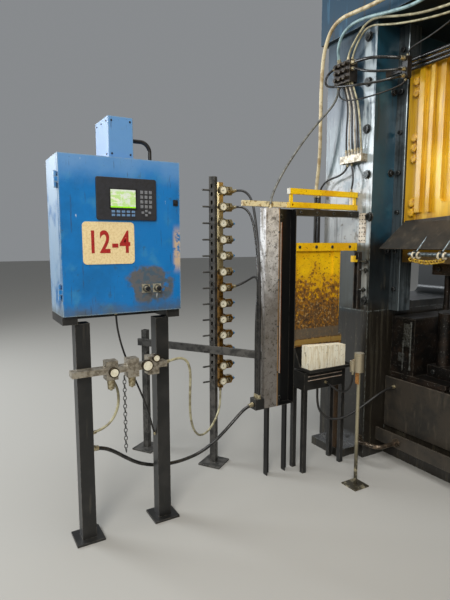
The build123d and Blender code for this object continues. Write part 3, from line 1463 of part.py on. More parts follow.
# Cabinet door: a pan with a cut-out for the display and one knuckle at each hinge
door_width = cabinet_width - 2 * door_margin
door_height = cabinet_height - 2 * door_margin
display_body_width = display_width - 2 * display_body_inset
display_body_height = display_height - 2 * display_body_inset
with BuildPart() as cabinet_door:
    with BuildSketch(Plane.YZ.offset(cabinet_face_x)):
        with Locations((cabinet_y, cabinet_mid_z)):
            Rectangle(door_width, door_height)
    extrude(amount=-door_thickness)
    with BuildSketch(Plane.YZ.offset(cabinet_face_x - door_skin)):
        with Locations((cabinet_y, cabinet_mid_z)):
            Rectangle(door_width - 2 * door_skin, door_height - 2 * door_skin)
    extrude(amount=door_skin - door_thickness, mode=Mode.SUBTRACT)
    with BuildSketch(Plane.YZ.offset(cabinet_face_x)):
        with Locations((display_y, display_z)):
            Rectangle(display_body_width, display_body_height)
    extrude(amount=-door_thickness, mode=Mode.SUBTRACT)
    for hinge_z in hinge_heights:
        with BuildSketch(Plane.XY.offset(hinge_z - hinge_knuckle / 2)):
            with Locations((hinge_x, hinge_y)):
                Circle(hinge_radius)
            with Locations((hinge_x, hinge_y)):
                Rectangle(hinge_radius, hinge_offset + 2 * door_margin, align=(Align.MIN, Align.MIN))
            with Locations((hinge_x, hinge_y)):
                Circle(hinge_pin + hinge_pin_clearance, mode=Mode.SUBTRACT)
        extrude(amount=hinge_knuckle)
save(cabinet_door, "cabinet_door")

# Operator display set into the door
with BuildPart() as operator_display:
    with BuildSketch(Plane.YZ.offset(cabinet_face_x)):
        with Locations((display_y, display_z)):
            RectangleRounded(display_width, display_height, display_depth)
    extrude(amount=display_depth)
    fillet(operator_display.edges().group_by(Axis.X)[-1], display_depth / 4)
    with BuildSketch(Plane.YZ.offset(cabinet_face_x)):
        with Locations((display_y, display_z)):
            Rectangle(display_body_width - 2 * door_margin, display_body_height - 2 * door_margin)
    extrude(amount=-display_body_depth)
save(operator_display, "operator_display")

# Number plate and selector switches on the door
with BuildPart() as number_plate:
    with BuildSketch(Plane.YZ.offset(cabinet_face_x)):
        with Locations((number_plate_y, number_plate_z)):
            RectangleRounded(number_plate_width, number_plate_height, number_plate_radius)
    extrude(amount=number_plate_thickness)
save(number_plate, "number_plate")

with BuildPart() as selector_switches:
    for switch_y in switch_places:
        with BuildSketch(Plane.YZ.offset(cabinet_face_x)):
            with Locations((switch_y, switch_z)):
                Rectangle(switch_size, switch_size)
        extrude(amount=switch_plate)
        with BuildSketch(Plane.YZ.offset(cabinet_face_x + switch_plate)):
            with Locations((switch_y, switch_z)):
                Circle(switch_knob / 2)
        extrude(amount=switch_knob_depth)
save(selector_switches, "selector_switches")

# Junction box on top of the cabinet
with BuildPart() as junction_box:
    with BuildSketch(Plane.XY.offset(cabinet_top)):
        with Locations((body_front_x, box_y)):
            Rectangle(box_depth, box_width, align=(Align.MAX, Align.CENTER))
    extrude(amount=box_height)
    fillet(junction_box.edges().filter_by(Axis.Z), cabinet_lip / 4)
save(junction_box, "junction_box")

# Conduit from the side of the junction box down into the cabinet's top
conduit_x = body_front_x - box_depth / 2
conduit_start = Vector(conduit_x, box_y + box_width / 2, cabinet_top + conduit_lift)
with BuildPart() as box_conduit:
    with BuildLine():
        FilletPolyline(
            conduit_start,
            conduit_start + Vector(0, conduit_reach, 0),
            conduit_start + Vector(0, conduit_reach, -conduit_lift),
            radius=conduit_radius,
        )
    with BuildSketch(Plane(origin=conduit_start, z_dir=(0, 1, 0))):
        Circle(conduit_diameter / 2)
    sweep()
save(box_conduit, "box_conduit")

# Stand: two posts on foot plates, joined by a frame under the cabinet
stand_top = cabinet_bottom - stand_frame_height
with BuildPart() as cabinet_stand:
    with BuildSketch():
        for stand_y in stand_post_places:
            with Locations((stand_post_x, stand_y)):
                Rectangle(2 * stand_post, 2 * stand_post)
    extrude(amount=foot_plate_thickness)
    with BuildSketch(Plane.XY.offset(foot_plate_thickness)):
        for stand_y in stand_post_places:
            with Locations((stand_post_x, stand_y)):
                Rectangle(stand_post, stand_post)
    extrude(amount=stand_top - foot_plate_thickness)
    with BuildSketch(Plane.XY.offset(stand_top)):
        with Locations((body_front_x, cabinet_y)):
            Rectangle(cabinet_depth, cabinet_width, align=(Align.MAX, Align.CENTER))
            Rectangle(
                cabinet_depth - stand_post, cabinet_width - 2 * stand_post, align=(Align.MAX, Align.CENTER),
                mode=Mode.SUBTRACT,
            )
    extrude(amount=stand_frame_height)
save(cabinet_stand, "cabinet_stand")

# Air preparation: a row of filter and regulator blocks between the stand posts
with BuildPart() as air_prep:
    with BuildSketch(Plane.YZ.offset(stand_post_x + stand_post / 2)):
        with Locations((stand_post_places[1], air_prep_z)):
            Rectangle(
                stand_post_places[1] - stand_post_places[0] + stand_post, air_prep_block / 2,
                align=(Align.MAX, Align.CENTER),
            )
        with Locations((stand_post_places[1] - air_prep_inset - air_prep_pitch, air_prep_z)):
            with GridLocations(air_prep_pitch, 0, 3, 1):
                Rectangle(air_prep_block, air_prep_height)
    extrude(amount=air_prep_block)
save(air_prep, "air_prep")
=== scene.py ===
"""Looks of the straight-side press: finishes, fasteners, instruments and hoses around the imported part.

Places are metres in the part's own frame: X to the right along the press front, Y to the rear, Z up.
"""
import json
import math
import random

import bmesh
import bpy
from mathutils import Matrix, Vector


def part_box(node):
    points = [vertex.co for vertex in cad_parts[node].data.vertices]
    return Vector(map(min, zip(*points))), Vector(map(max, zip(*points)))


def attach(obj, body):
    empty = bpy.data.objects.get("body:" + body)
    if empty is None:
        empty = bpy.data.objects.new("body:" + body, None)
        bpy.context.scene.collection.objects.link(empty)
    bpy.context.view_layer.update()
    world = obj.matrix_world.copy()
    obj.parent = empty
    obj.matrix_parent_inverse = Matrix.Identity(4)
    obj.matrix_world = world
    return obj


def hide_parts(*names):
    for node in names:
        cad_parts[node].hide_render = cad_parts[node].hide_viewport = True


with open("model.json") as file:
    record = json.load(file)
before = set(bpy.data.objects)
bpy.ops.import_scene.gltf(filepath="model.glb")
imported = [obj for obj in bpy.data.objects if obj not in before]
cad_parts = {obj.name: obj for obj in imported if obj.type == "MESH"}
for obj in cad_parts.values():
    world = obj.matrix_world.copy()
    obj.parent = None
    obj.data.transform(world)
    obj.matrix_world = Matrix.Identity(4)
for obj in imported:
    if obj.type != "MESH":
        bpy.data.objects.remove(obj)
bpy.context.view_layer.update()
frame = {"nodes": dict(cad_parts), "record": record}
nodes = frame["nodes"]
rng = random.Random(7)

PRESS = "press"
SLIDE = "slide_body"
DOOR = "door_body"
SIDES = (-1, 1)
CORNERS = [(side, face) for side in SIDES for face in SIDES]
X, Y, Z = 0, 1, 2
X_AXIS = (1, 0, 0)
Y_AXIS = (0, 1, 0)


def srgb(red, green, blue):
    """A screen colour of 0 to 255 as a linear colour."""
    parts = [value / 255 for value in (red, green, blue)]
    return tuple(p / 12.92 if p <= 0.04045 else ((p + 0.055) / 1.055) ** 2.4 for p in parts) + (1.0,)


# Finishes

class Finish:
    """A material built up in layers over a base coat. Colours are screen values of 0 to 255."""

    def __init__(self, name, base, roughness, metallic=0.0):
        self.material = bpy.data.materials.new(name)
        self.material.use_nodes = True
        self.tree = self.material.node_tree
        self.shader = self.tree.nodes["Principled BSDF"]
        self.shader.inputs["Metallic"].default_value = metallic
        coordinates = self.tree.nodes.new("ShaderNodeTexCoord")
        self.place = coordinates.outputs["Object"]
        self.axes = self.split(self.place)
        self.facing = self.split(coordinates.outputs["Normal"])
        self.colour = srgb(*base)
        self.roughness = roughness

    def feed(self, socket, value):
        if isinstance(value, bpy.types.NodeSocket):
            self.tree.links.new(value, socket)
        else:
            socket.default_value = value

    def split(self, vector):
        parts = self.tree.nodes.new("ShaderNodeSeparateXYZ")
        self.tree.links.new(vector, parts.inputs[0])
        return parts.outputs

    def math(self, operation, a, b=0.0):
        made = self.tree.nodes.new("ShaderNodeMath")
        made.operation = operation
        made.use_clamp = operation in ("MULTIPLY", "MAXIMUM", "SUBTRACT")
        self.feed(made.inputs[0], a)
        self.feed(made.inputs[1], b)
        return made.outputs[0]

    def both(self, *masks):
        result = masks[0]
        for mask in masks[1:]:
            result = self.math("MULTIPLY", result, mask)
        return result

    def either(self, a, b):
        return self.math("MAXIMUM", a, b)

    def away(self, mask):
        return self.math("SUBTRACT", 1.0, mask)

    def step(self, value, low, high):
        """0 up to low, 1 from high, and smooth between. It falls where high is under low."""
        made = self.tree.nodes.new("ShaderNodeMapRange")
        made.interpolation_type = "SMOOTHSTEP"
        rising = high > low
        self.feed(made.inputs["Value"], value)
        made.inputs["From Min"].default_value = min(low, high)
        made.inputs["From Max"].default_value = max(low, high)
        made.inputs["To Min"].default_value = 0.0 if rising else 1.0
        made.inputs["To Max"].default_value = 1.0 if rising else 0.0
        return made.outputs[0]

    def wavy_height(self, size, amount, seed=0.0):
        """The height, wandering by noise of that size."""
        return self.math("ADD", self.axes[Z], self.math("MULTIPLY", self.noise(size, seed=seed), amount))

    def past(self, axis, low, high):
        return self.step(self.axes[axis], low, high)

    def band(self, axis, low, high, soft):
        return self.both(self.past(axis, low - soft, low + soft), self.past(axis, high + soft, high - soft))

    def looks(self, axis, sign):
        """1 on faces that look along the axis."""
        return self.step(self.math("MULTIPLY", self.facing[axis], sign), 0.6, 0.8)

    def noise(self, size, stretch=(1, 1, 1), detail=5.0, seed=0.0):
        """Values around 0.5 in patches of about that size in metres."""
        mapping = self.tree.nodes.new("ShaderNodeMapping")
        self.tree.links.new(self.place, mapping.inputs["Vector"])
        mapping.inputs["Scale"].default_value = stretch
        made = self.tree.nodes.new("ShaderNodeTexNoise")
        made.noise_dimensions = "4D"
        self.tree.links.new(mapping.outputs[0], made.inputs["Vector"])
        made.inputs["W"].default_value = seed
        made.inputs["Scale"].default_value = 1 / size
        made.inputs["Detail"].default_value = detail
        made.inputs["Roughness"].default_value = 0.6
        return made.outputs["Fac"]

    def patches(self, size, low, high, **settings):
        return self.step(self.noise(size, **settings), low, high)

    def drips(self, width, low, high, length=14.0, seed=0.0):
        """Upright streaks of about that width."""
        return self.patches(width, low, high, stretch=(1, 1, 1 / length), detail=4.0, seed=seed)

    def edges(self, radius):
        """1 where an edge is near."""
        bevel = self.tree.nodes.new("ShaderNodeBevel")
        bevel.samples = 3
        bevel.inputs["Radius"].default_value = radius
        true = self.tree.nodes.new("ShaderNodeNewGeometry")
        dot = self.tree.nodes.new("ShaderNodeVectorMath")
        dot.operation = "DOT_PRODUCT"
        self.tree.links.new(bevel.outputs[0], dot.inputs[0])
        self.tree.links.new(true.outputs["Normal"], dot.inputs[1])
        return self.step(dot.outputs["Value"], 0.995, 0.9)

    def layer(self, mask, colour, roughness=None, amount=1.0):
        if amount != 1.0:
            mask = self.math("MULTIPLY", mask, amount)
        mix = self.tree.nodes.new("ShaderNodeMix")
        mix.data_type = "RGBA"
        self.feed(mix.inputs["Factor"], mask)
        self.feed(mix.inputs[6], self.colour)
        self.feed(mix.inputs[7], srgb(*colour))
        self.colour = mix.outputs[2]
        if roughness is not None:
            mix = self.tree.nodes.new("ShaderNodeMix")
            self.feed(mix.inputs["Factor"], mask)
            self.feed(mix.inputs[2], self.roughness)
            self.feed(mix.inputs[3], roughness)
            self.roughness = mix.outputs[0]

    def worn_edges(self, radius, patches, colour, roughness, amount):
        """A colour on the edges, where patches of that size, low and high let it show."""
        self.layer(self.both(self.edges(radius), self.patches(*patches)), colour, roughness, amount)

    def coat(self, weight, roughness):
        self.shader.inputs["Coat Weight"].default_value = weight
        self.shader.inputs["Coat Roughness"].default_value = roughness

    def bump(self, height, strength, distance):
        made = self.tree.nodes.new("ShaderNodeBump")
        made.inputs["Strength"].default_value = strength
        made.inputs["Distance"].default_value = distance
        self.tree.links.new(height, made.inputs["Height"])
        if self.shader.inputs["Normal"].is_linked:
            before = self.shader.inputs["Normal"].links[0].from_socket
            self.tree.links.new(before, made.inputs["Normal"])
        self.tree.links.new(made.outputs[0], self.shader.inputs["Normal"])

    def done(self):
        self.feed(self.shader.inputs["Base Color"], self.colour)
        self.feed(self.shader.inputs["Roughness"], self.roughness)
        return self.material


OIL = (18, 15, 11)
GRIME = (44, 38, 28)


def press_paint():
    """Teal enamel with a painted sheen, painted glints and a painted reflection band on the front faces,
    painted shade high on the front, on and under the crown and in the recesses of the die space, oily and
    black towards the floor.
    """
    f = Finish("press_paint", (34, 78, 96), 0.38)
    f.layer(f.patches(0.7, 0.42, 0.62), (26, 60, 76))
    f.layer(f.patches(0.25, 0.55, 0.72, seed=2.0), (52, 98, 114), 0.32, 0.7)
    front = f.both(f.looks(Y, -1), f.band(Z, 1.06, 2.93, 0.02), f.past(Y, -0.7, -0.72))
    # Painted sheen: the front faces between bed and crown are painted a paler grey-blue for light glaring on
    # the enamel.
    f.layer(front, (74, 92, 98), 0.3, 0.92)
    # Painted sheen: pale upright streaks on the front faces stand for reflections on the enamel.
    sheen_streaks = f.both(front, f.drips(0.1, 0.5, 0.57, 3.5, seed=4.0))
    f.layer(sheen_streaks, (126, 140, 144), 0.28, 0.85)
    streaks = f.both(front, f.drips(0.045, 0.52, 0.6, 9.0, seed=11.0))
    f.layer(streaks, (20, 31, 36), 0.3, 0.88)
    # Painted highlight: thin near-white upright glints on the front faces.
    painted_glints = f.both(front, f.drips(0.014, 0.6, 0.66, 24.0, seed=15.0))
    f.layer(painted_glints, (206, 210, 208), 0.3, 0.6)
    # Painted reflection: a pale grey band across the front faces between about 1.5 and 2 m, with brown
    # patches in it.
    reflection_band = f.both(front, f.band(Z, 1.52, 2.02, 0.05), f.patches(0.16, 0.34, 0.5, seed=12.0))
    f.layer(reflection_band, (166, 168, 167), 0.4, 0.85)
    f.layer(f.both(reflection_band, f.patches(0.05, 0.56, 0.62, seed=16.0)), (96, 88, 74), 0.4, 0.7)
    reach = f.math("ABSOLUTE", f.axes[X])
    height = f.wavy_height(0.12, 0.4, 18.0)
    # Painted shade: the front faces go back to dark teal above about 2.5 m, below the crown.
    f.layer(f.both(front, f.step(height, 2.48, 2.66)), (26, 54, 72), 0.34, 0.88)
    # Painted highlight: pale streaks along the inner edge of the front faces, at the corner.
    corner_highlight = f.both(front, f.step(reach, 1.22, 1.19), f.drips(0.06, 0.46, 0.56, 6.0, seed=19.0))
    f.layer(corner_highlight, (176, 188, 192), 0.28, 0.85)
    low_front = f.both(front, f.past(Z, 1.54, 1.5))
    f.layer(low_front, (64, 66, 62), 0.42, 0.92)
    near_stud = f.both(f.step(reach, 1.115, 1.125), f.step(reach, 1.25, 1.22), f.band(Z, 1.09, 1.37, 0.02))
    pale_patch = f.both(front, near_stud, f.patches(0.09, 0.4, 0.46, seed=9.0))
    f.layer(pale_patch, (152, 154, 150), 0.45, 0.85)
    # Painted shade: the crown front is painted darker teal, with pale painted highlight streaks over it.
    crown = f.both(f.looks(Y, -1), f.past(Z, 2.93, 2.96))
    f.layer(crown, (8, 50, 72), 0.5, 0.92)
    f.layer(f.both(crown, f.drips(0.05, 0.56, 0.66, 8.0, seed=17.0)), (60, 112, 142), 0.45, 0.4)
    # Painted shade: faces looking down under the crown are painted near black.
    under = f.both(f.looks(Z, -1), f.past(Z, 2.9, 2.94))
    f.layer(under, (8, 14, 18), 0.45, 0.9)
    f.layer(f.drips(0.05, 0.56, 0.7, seed=1.0), GRIME, 0.5, 0.65)
    f.layer(f.drips(0.018, 0.66, 0.74, 30.0, seed=6.0), OIL, 0.25, 0.8)
    # Painted shade: the die space between the uprights, below about 1.8 m, is painted an oily brown-black,
    # with oil streaks over it further on.
    within = f.both(f.step(reach, 1.115, 1.105), f.step(height, 1.84, 1.7))
    f.layer(within, (22, 20, 17), 0.3, 0.93)
    sides = f.either(f.looks(X, 1), f.looks(X, -1))
    # Painted shade in the recesses: faces inside the press body, behind its front faces and below about 2.2
    # m, that do not look sideways are painted brown-black.
    window = f.both(f.step(reach, 1.57, 1.56), f.band(Y, -0.62, 0.62, 0.01))
    rims = f.both(f.away(sides), window, f.step(height, 2.3, 2.1))
    f.layer(rims, (30, 26, 21), 0.4, 0.9)
    f.layer(f.both(within, f.drips(0.04, 0.56, 0.66, 6.0, seed=20.0)), (58, 54, 46), 0.3, 0.7)
    oily = f.step(f.wavy_height(0.3, 0.3), 1.3, 1.16)
    f.layer(oily, (34, 30, 24), 0.3, 0.97)
    f.layer(f.both(oily, f.drips(0.03, 0.5, 0.6, 20.0, seed=14.0)), (62, 58, 48), 0.25, 0.7)
    f.layer(f.both(oily, f.patches(0.02, 0.6, 0.68, seed=3.0)), (96, 92, 78), 0.6, 0.5)
    f.worn_edges(0.008, (0.03, 0.42, 0.55), (128, 136, 132), 0.45, 0.75)
    f.bump(f.noise(0.012, detail=3.0), 0.12, 0.002)
    f.coat(0.2, 0.12)
    return f.done()


def slide_paint():
    """Glossy yellow with brown oil drips, dirty towards its lower edge, with pale painted highlight streaks,
    painted shade on its left end and painted shade along its bottom behind the skirt.
    """
    f = Finish("slide_paint", (232, 184, 26), 0.44)
    f.layer(f.patches(0.5, 0.42, 0.62), (200, 150, 22))
    # Painted highlight: pale upright streaks stand for glossy reflections on the yellow.
    f.layer(f.drips(0.09, 0.5, 0.66, 8.0, seed=3.0), (244, 208, 84), 0.38, 0.8)
    # Painted shade: the left end of the slide is painted a darker yellow.
    f.layer(f.past(X, -0.86, -0.9), (196, 148, 22), 0.34, 0.7)
    f.layer(f.drips(0.03, 0.56, 0.68, 22.0, seed=5.0), (150, 98, 16), 0.3, 0.7)
    f.layer(f.drips(0.012, 0.63, 0.7, 40.0, seed=8.0), (70, 40, 12), 0.3, 0.8)
    f.layer(f.patches(0.016, 0.68, 0.72, seed=2.0), (84, 56, 20), 0.5, 0.8)
    low = f.step(f.wavy_height(0.12, 0.2), 1.86, 1.56)
    f.layer(low, (112, 74, 18), 0.4, 0.6)
    # Painted shade: the slide's bottom, behind the skirt, is painted dark brown-yellow.
    f.layer(f.past(Z, 1.5, 1.42), (62, 44, 16), 0.4, 0.8)
    ledge = f.both(f.looks(Z, 1), f.past(Z, 2.7, 2.76))
    f.layer(f.both(ledge, f.patches(0.06, 0.4, 0.56, seed=6.0)), (84, 66, 30), 0.35, 0.8)
    f.worn_edges(0.005, (0.02, 0.45, 0.55), (90, 62, 26), 0.5, 0.7)
    f.bump(f.noise(0.03, detail=3.0), 0.1, 0.002)
    f.coat(0.15, 0.12)
    return f.done()


def guard_paint():
    """Yellow with black specks, rusting to brown down the panel."""
    f = Finish("guard_paint", (246, 202, 14), 0.42)
    f.layer(f.patches(0.2, 0.45, 0.65), (226, 172, 8))
    f.layer(f.drips(0.02, 0.6, 0.7, 12.0, seed=2.0), (150, 96, 12), 0.5, 0.6)
    f.layer(f.patches(0.009, 0.64, 0.69, detail=2.0, seed=4.0), (46, 32, 12), 0.6, 0.9)
    height = f.wavy_height(0.1, 0.5, 7.0)
    depth = f.step(height, 1.72, 1.28)
    spots = f.math("ADD", f.noise(0.018, detail=6.0, seed=6.0), f.math("MULTIPLY", depth, 0.3))
    sheet = f.both(f.past(Z, 1.5, 1.49), f.past(Y, -0.82, -0.84))
    f.layer(f.both(sheet, f.step(height, 1.74, 1.5)), (196, 138, 10), 0.5, 0.7)
    f.layer(f.both(sheet, f.step(spots, 0.62, 0.66)), (130, 84, 22), 0.65, 0.92)
    f.layer(f.both(sheet, f.step(spots, 0.74, 0.8)), (84, 60, 32), 0.75, 0.9)
    f.layer(f.both(sheet, depth, f.patches(0.016, 0.58, 0.62, seed=8.0)), (178, 152, 104), 0.7, 0.75)
    f.layer(f.both(sheet, depth, f.patches(0.018, 0.56, 0.6, seed=14.0)), (38, 27, 16), 0.6, 0.85)
    rear_edge = f.both(sheet, f.band(Y, -0.9, -0.86, 0.004), f.past(Z, 1.0, 1.1))
    f.layer(rear_edge, (238, 182, 10), 0.45, 0.85)
    panel = f.past(Y, -1.3, -1.296)
    f.layer(f.both(panel, f.band(Z, 0.89, 0.958, 0.004)), (92, 84, 72), 0.5, 0.85)
    f.layer(f.both(panel, f.band(Z, 0.85, 0.884, 0.003)), (158, 128, 66), 0.55, 0.85)
    f.layer(f.past(Z, 0.84, 0.8), (58, 44, 30), 0.6, 0.9)
    arm = f.past(Y, -1.336, -1.342)
    f.layer(arm, (226, 212, 168), 0.5)
    f.layer(f.both(arm, f.patches(0.03, 0.52, 0.62, seed=9.0)), (150, 122, 72), 0.6, 0.85)
    f.layer(f.both(arm, f.patches(0.012, 0.6, 0.66, seed=10.0)), (60, 46, 30), 0.6, 0.85)
    f.worn_edges(0.003, (0.02, 0.4, 0.5), (80, 58, 26), 0.6, 0.8)
    f.bump(f.noise(0.006, detail=4.0), 0.25, 0.001)
    return f.done()


def dark_sheet():
    """Oily brown-grey sheet."""
    f = Finish("dark_sheet", (64, 58, 50), 0.42, 0.2)
    f.layer(f.patches(0.2, 0.42, 0.62), (48, 46, 42), 0.36)
    f.layer(f.drips(0.04, 0.55, 0.68, 6.0), (86, 78, 66), 0.5, 0.6)
    f.layer(f.patches(0.015, 0.62, 0.7, seed=3.0), (24, 20, 15), 0.3, 0.7)
    f.worn_edges(0.004, (0.03, 0.4, 0.5), (120, 110, 96), 0.4, 0.8)
    f.bump(f.noise(0.02, detail=4.0), 0.15, 0.001)
    return f.done()


def oiled_casting():
    """Black oiled iron with bright chips and rubbed edges."""
    f = Finish("oiled_casting", (24, 22, 20), 0.34, 0.55)
    f.layer(f.patches(0.12, 0.45, 0.62), (46, 36, 28), 0.42)
    f.layer(f.patches(0.05, 0.6, 0.7, seed=5.0), (70, 50, 36), 0.5, 0.7)
    f.layer(f.patches(0.006, 0.66, 0.7, detail=2.0, seed=2.0), (170, 168, 162), 0.3, 0.8)
    f.worn_edges(0.004, (0.03, 0.4, 0.52), (140, 134, 124), 0.35, 0.8)
    f.bump(f.noise(0.008, detail=4.0), 0.2, 0.001)
    return f.done()


def machined_steel():
    """Ground steel under an oil film."""
    f = Finish("machined_steel", (128, 138, 142), 0.3, 0.85)
    f.layer(f.drips(0.02, 0.45, 0.62, 30.0), (84, 94, 98), 0.36)
    f.layer(f.patches(0.15, 0.5, 0.66, seed=4.0), (60, 62, 60), 0.42, 0.7)
    f.layer(f.patches(0.012, 0.64, 0.7, seed=6.0), OIL, 0.25, 0.7)
    f.bump(f.noise(0.004, stretch=(1, 1, 0.05)), 0.1, 0.0005)
    return f.done()


def black_paint():
    """Black paint, greasy, grey on its rubbed edges, which also serve as a painted highlight along rims."""
    f = Finish("black_paint", (26, 26, 25), 0.38)
    f.layer(f.patches(0.15, 0.45, 0.65), (40, 39, 37), 0.46)
    f.layer(f.drips(0.03, 0.6, 0.72, 10.0, seed=3.0), (70, 66, 58), 0.55, 0.6)
    # Grey on the edges: rubbed paint and a painted highlight along rims such as the tray's lip.
    f.worn_edges(0.004, (0.02, 0.42, 0.54), (122, 116, 106), 0.5, 0.7)
    f.bump(f.noise(0.01), 0.15, 0.001)
    return f.done()


def stained_sheet():
    """Galvanised sheet with dark spots, brown and dull towards the floor."""
    f = Finish("stained_sheet", (224, 223, 222), 0.36, 0.25)
    f.layer(f.patches(0.06, 0.44, 0.6), (186, 184, 182), 0.42)
    f.layer(f.drips(0.03, 0.54, 0.64, 8.0, seed=2.0), (120, 110, 96), 0.5, 0.8)
    f.layer(f.patches(0.012, 0.58, 0.66, seed=5.0), (54, 48, 38), 0.55, 0.85)
    f.layer(f.step(f.wavy_height(0.15, 0.5, 3.0), 1.72, 1.3), (92, 84, 74), 0.55, 0.82)
    f.layer(f.patches(0.02, 0.56, 0.62, seed=15.0), (60, 52, 40), 0.55, 0.7)
    f.layer(f.patches(0.005, 0.62, 0.68, detail=2.0, seed=8.0), (30, 26, 20), 0.5, 0.7)
    channel = f.past(Y, -1.4285, -1.4275)
    f.layer(channel, (15, 15, 15), 0.42)
    f.layer(f.both(channel, f.edges(0.003), f.patches(0.05, 0.36, 0.46)), (112, 108, 100), 0.4, 0.8)
    stains = f.patches(0.05, 0.3, 0.46, stretch=(1, 1, 0.3), seed=12.0)
    fold = f.both(f.band(Y, -1.4345, -1.4285, 0.0005), stains)
    f.layer(fold, (168, 128, 72), 0.45, 0.85)
    f.layer(f.past(Z, 0.471, 0.469), (20, 19, 18), 0.45)
    f.bump(f.noise(0.02), 0.15, 0.001)
    return f.done()


def cabinet_paint():
    """Bright blue enamel with a painted highlight towards the top, rubbed pale at its edges and rusted low
    down.
    """
    f = Finish("cabinet_paint", (12, 118, 190), 0.32)
    f.layer(f.patches(0.3, 0.42, 0.62), (6, 104, 168), 0.36)
    f.layer(f.patches(0.12, 0.52, 0.68, seed=3.0), (58, 138, 184), 0.4, 0.6)
    f.layer(f.patches(0.05, 0.62, 0.7, seed=13.0), (48, 84, 104), 0.5, 0.5)
    # Painted highlight: the upper part of the cabinet, above about 2 m, is painted a paler blue.
    top = f.step(f.wavy_height(0.2, 0.3, 5.0), 1.92, 2.12)
    f.layer(top, (112, 156, 202), 0.4, 0.75)
    left = f.both(f.looks(Y, -1), f.past(Z, 1.95, 1.944), f.patches(0.2, 0.34, 0.5, seed=11.0))
    f.layer(left, (170, 196, 216), 0.4, 0.75)
    near_switches = f.both(f.band(Y, -2.46, -2.23, 0.1), f.band(Z, 1.25, 1.4, 0.09))
    rub = f.step(f.both(near_switches, f.patches(0.1, 0.3, 0.62, seed=2.0)), 0.2, 0.42)
    f.layer(rub, (98, 90, 74), 0.55, 0.88)
    f.layer(f.both(rub, f.patches(0.02, 0.5, 0.56, seed=15.0)), (58, 88, 108), 0.5, 0.7)
    low = f.step(f.wavy_height(0.1, 0.22, 6.0), 1.38, 1.26)
    f.layer(low, (84, 84, 74), 0.55, 0.8)
    right_edge = f.both(f.band(Y, -2.215, -2.16, 0.012), f.band(Z, 1.4, 1.6, 0.04))
    f.layer(f.both(right_edge, f.patches(0.04, 0.4, 0.5, seed=4.0)), (206, 176, 138), 0.6, 0.9)
    scratch = f.patches(0.016, 0.74, 0.76, stretch=(1, 1, 0.3), detail=2.0, seed=9.0)
    f.layer(scratch, (206, 214, 218), 0.5, 0.7)
    f.layer(f.drips(0.01, 0.62, 0.7, 16.0, seed=7.0), (52, 46, 38), 0.5, 0.65)
    f.layer(f.patches(0.007, 0.68, 0.72, detail=3.0, seed=14.0), (24, 26, 28), 0.5, 0.8)
    f.worn_edges(0.007, (0.05, 0.32, 0.44), (150, 168, 170), 0.5, 0.85)
    f.bump(f.noise(0.006), 0.1, 0.0008)
    f.coat(0.3, 0.15)
    return f.done()


def valve_brass():
    """Golden brass below, paler above, on a whitish bar."""
    f = Finish("valve_brass", (168, 124, 52), 0.34, 0.9)
    f.layer(f.patches(0.02, 0.44, 0.6), (96, 66, 26), 0.4)
    f.layer(f.past(Z, 1.33, 1.36), (184, 168, 124), 0.34, 0.8)
    f.layer(f.patches(0.006, 0.6, 0.68, seed=3.0), (24, 19, 12), 0.5, 0.85)
    bar = f.both(f.past(Y, -1.6405, -1.6395), f.past(X, -1.553, -1.556))
    f.layer(bar, (206, 200, 184), 0.5, 0.9)
    f.layer(f.both(bar, f.patches(0.014, 0.52, 0.6, seed=6.0)), (90, 80, 62), 0.5, 0.9)
    f.worn_edges(0.002, (0.02, 0.35, 0.5), (226, 200, 136), 0.3, 0.7)
    f.bump(f.noise(0.004), 0.15, 0.0005)
    return f.done()


def bracket_paint():
    """Black paint on the clamp rail, with a pale riveted plate and a yellow hook."""
    f = Finish("bracket_paint", (24, 23, 22), 0.36)
    f.layer(f.patches(0.08, 0.45, 0.62), (52, 42, 32), 0.42)
    plate = f.band(Z, 1.53, 1.737, 0.001)
    f.layer(plate, (206, 196, 178), 0.42, 0.92)
    f.layer(f.both(plate, f.patches(0.03, 0.5, 0.62, seed=4.0)), (118, 92, 64), 0.5, 0.85)
    hook = f.both(f.band(Z, 1.396, 1.448, 0.001), f.past(Y, -0.785, -0.788))
    f.layer(hook, (226, 182, 24), 0.42)
    f.worn_edges(0.003, (0.03, 0.4, 0.52), (120, 112, 100), 0.45, 0.7)
    f.bump(f.noise(0.01), 0.15, 0.001)
    return f.done()


def service_pipe():
    """Bronze drain pipe; the standpipe is pale and its regulator silvery."""
    f = Finish("service_pipe", (140, 122, 102), 0.34, 0.7)
    f.layer(f.patches(0.03, 0.45, 0.62), (92, 78, 64), 0.4)
    stand = f.past(Y, -0.95, -0.98)
    f.layer(stand, (176, 168, 140), 0.45, 0.9)
    f.layer(f.both(stand, f.past(Z, 0.735, 0.742)), (178, 166, 140), 0.32)
    foot = f.both(f.past(Z, 0.4, 0.1), f.patches(0.04, 0.36, 0.5, seed=5.0))
    f.layer(foot, (40, 36, 30), 0.4, 0.85)
    f.layer(f.patches(0.01, 0.6, 0.68, seed=3.0), (34, 28, 22), 0.5, 0.8)
    f.worn_edges(0.002, (0.02, 0.35, 0.5), (214, 200, 176), 0.3, 0.7)
    f.bump(f.noise(0.006), 0.2, 0.0008)
    return f.done()


def simple(name, base, second, roughness, metallic=0.0, size=0.02, spots=None, edge=None):
    """A plain finish with clouds of a second colour, dirt spots and rubbed edges."""
    f = Finish(name, base, roughness, metallic)
    f.layer(f.patches(size, 0.42, 0.62), second, roughness * 1.2)
    if spots:
        f.layer(f.patches(size / 4, 0.62, 0.68, seed=3.0), spots, 0.5, 0.8)
    if edge:
        f.worn_edges(0.002, (size, 0.35, 0.5), edge, roughness, 0.7)
    f.bump(f.noise(size / 6), 0.15, size / 40)
    return f.done()


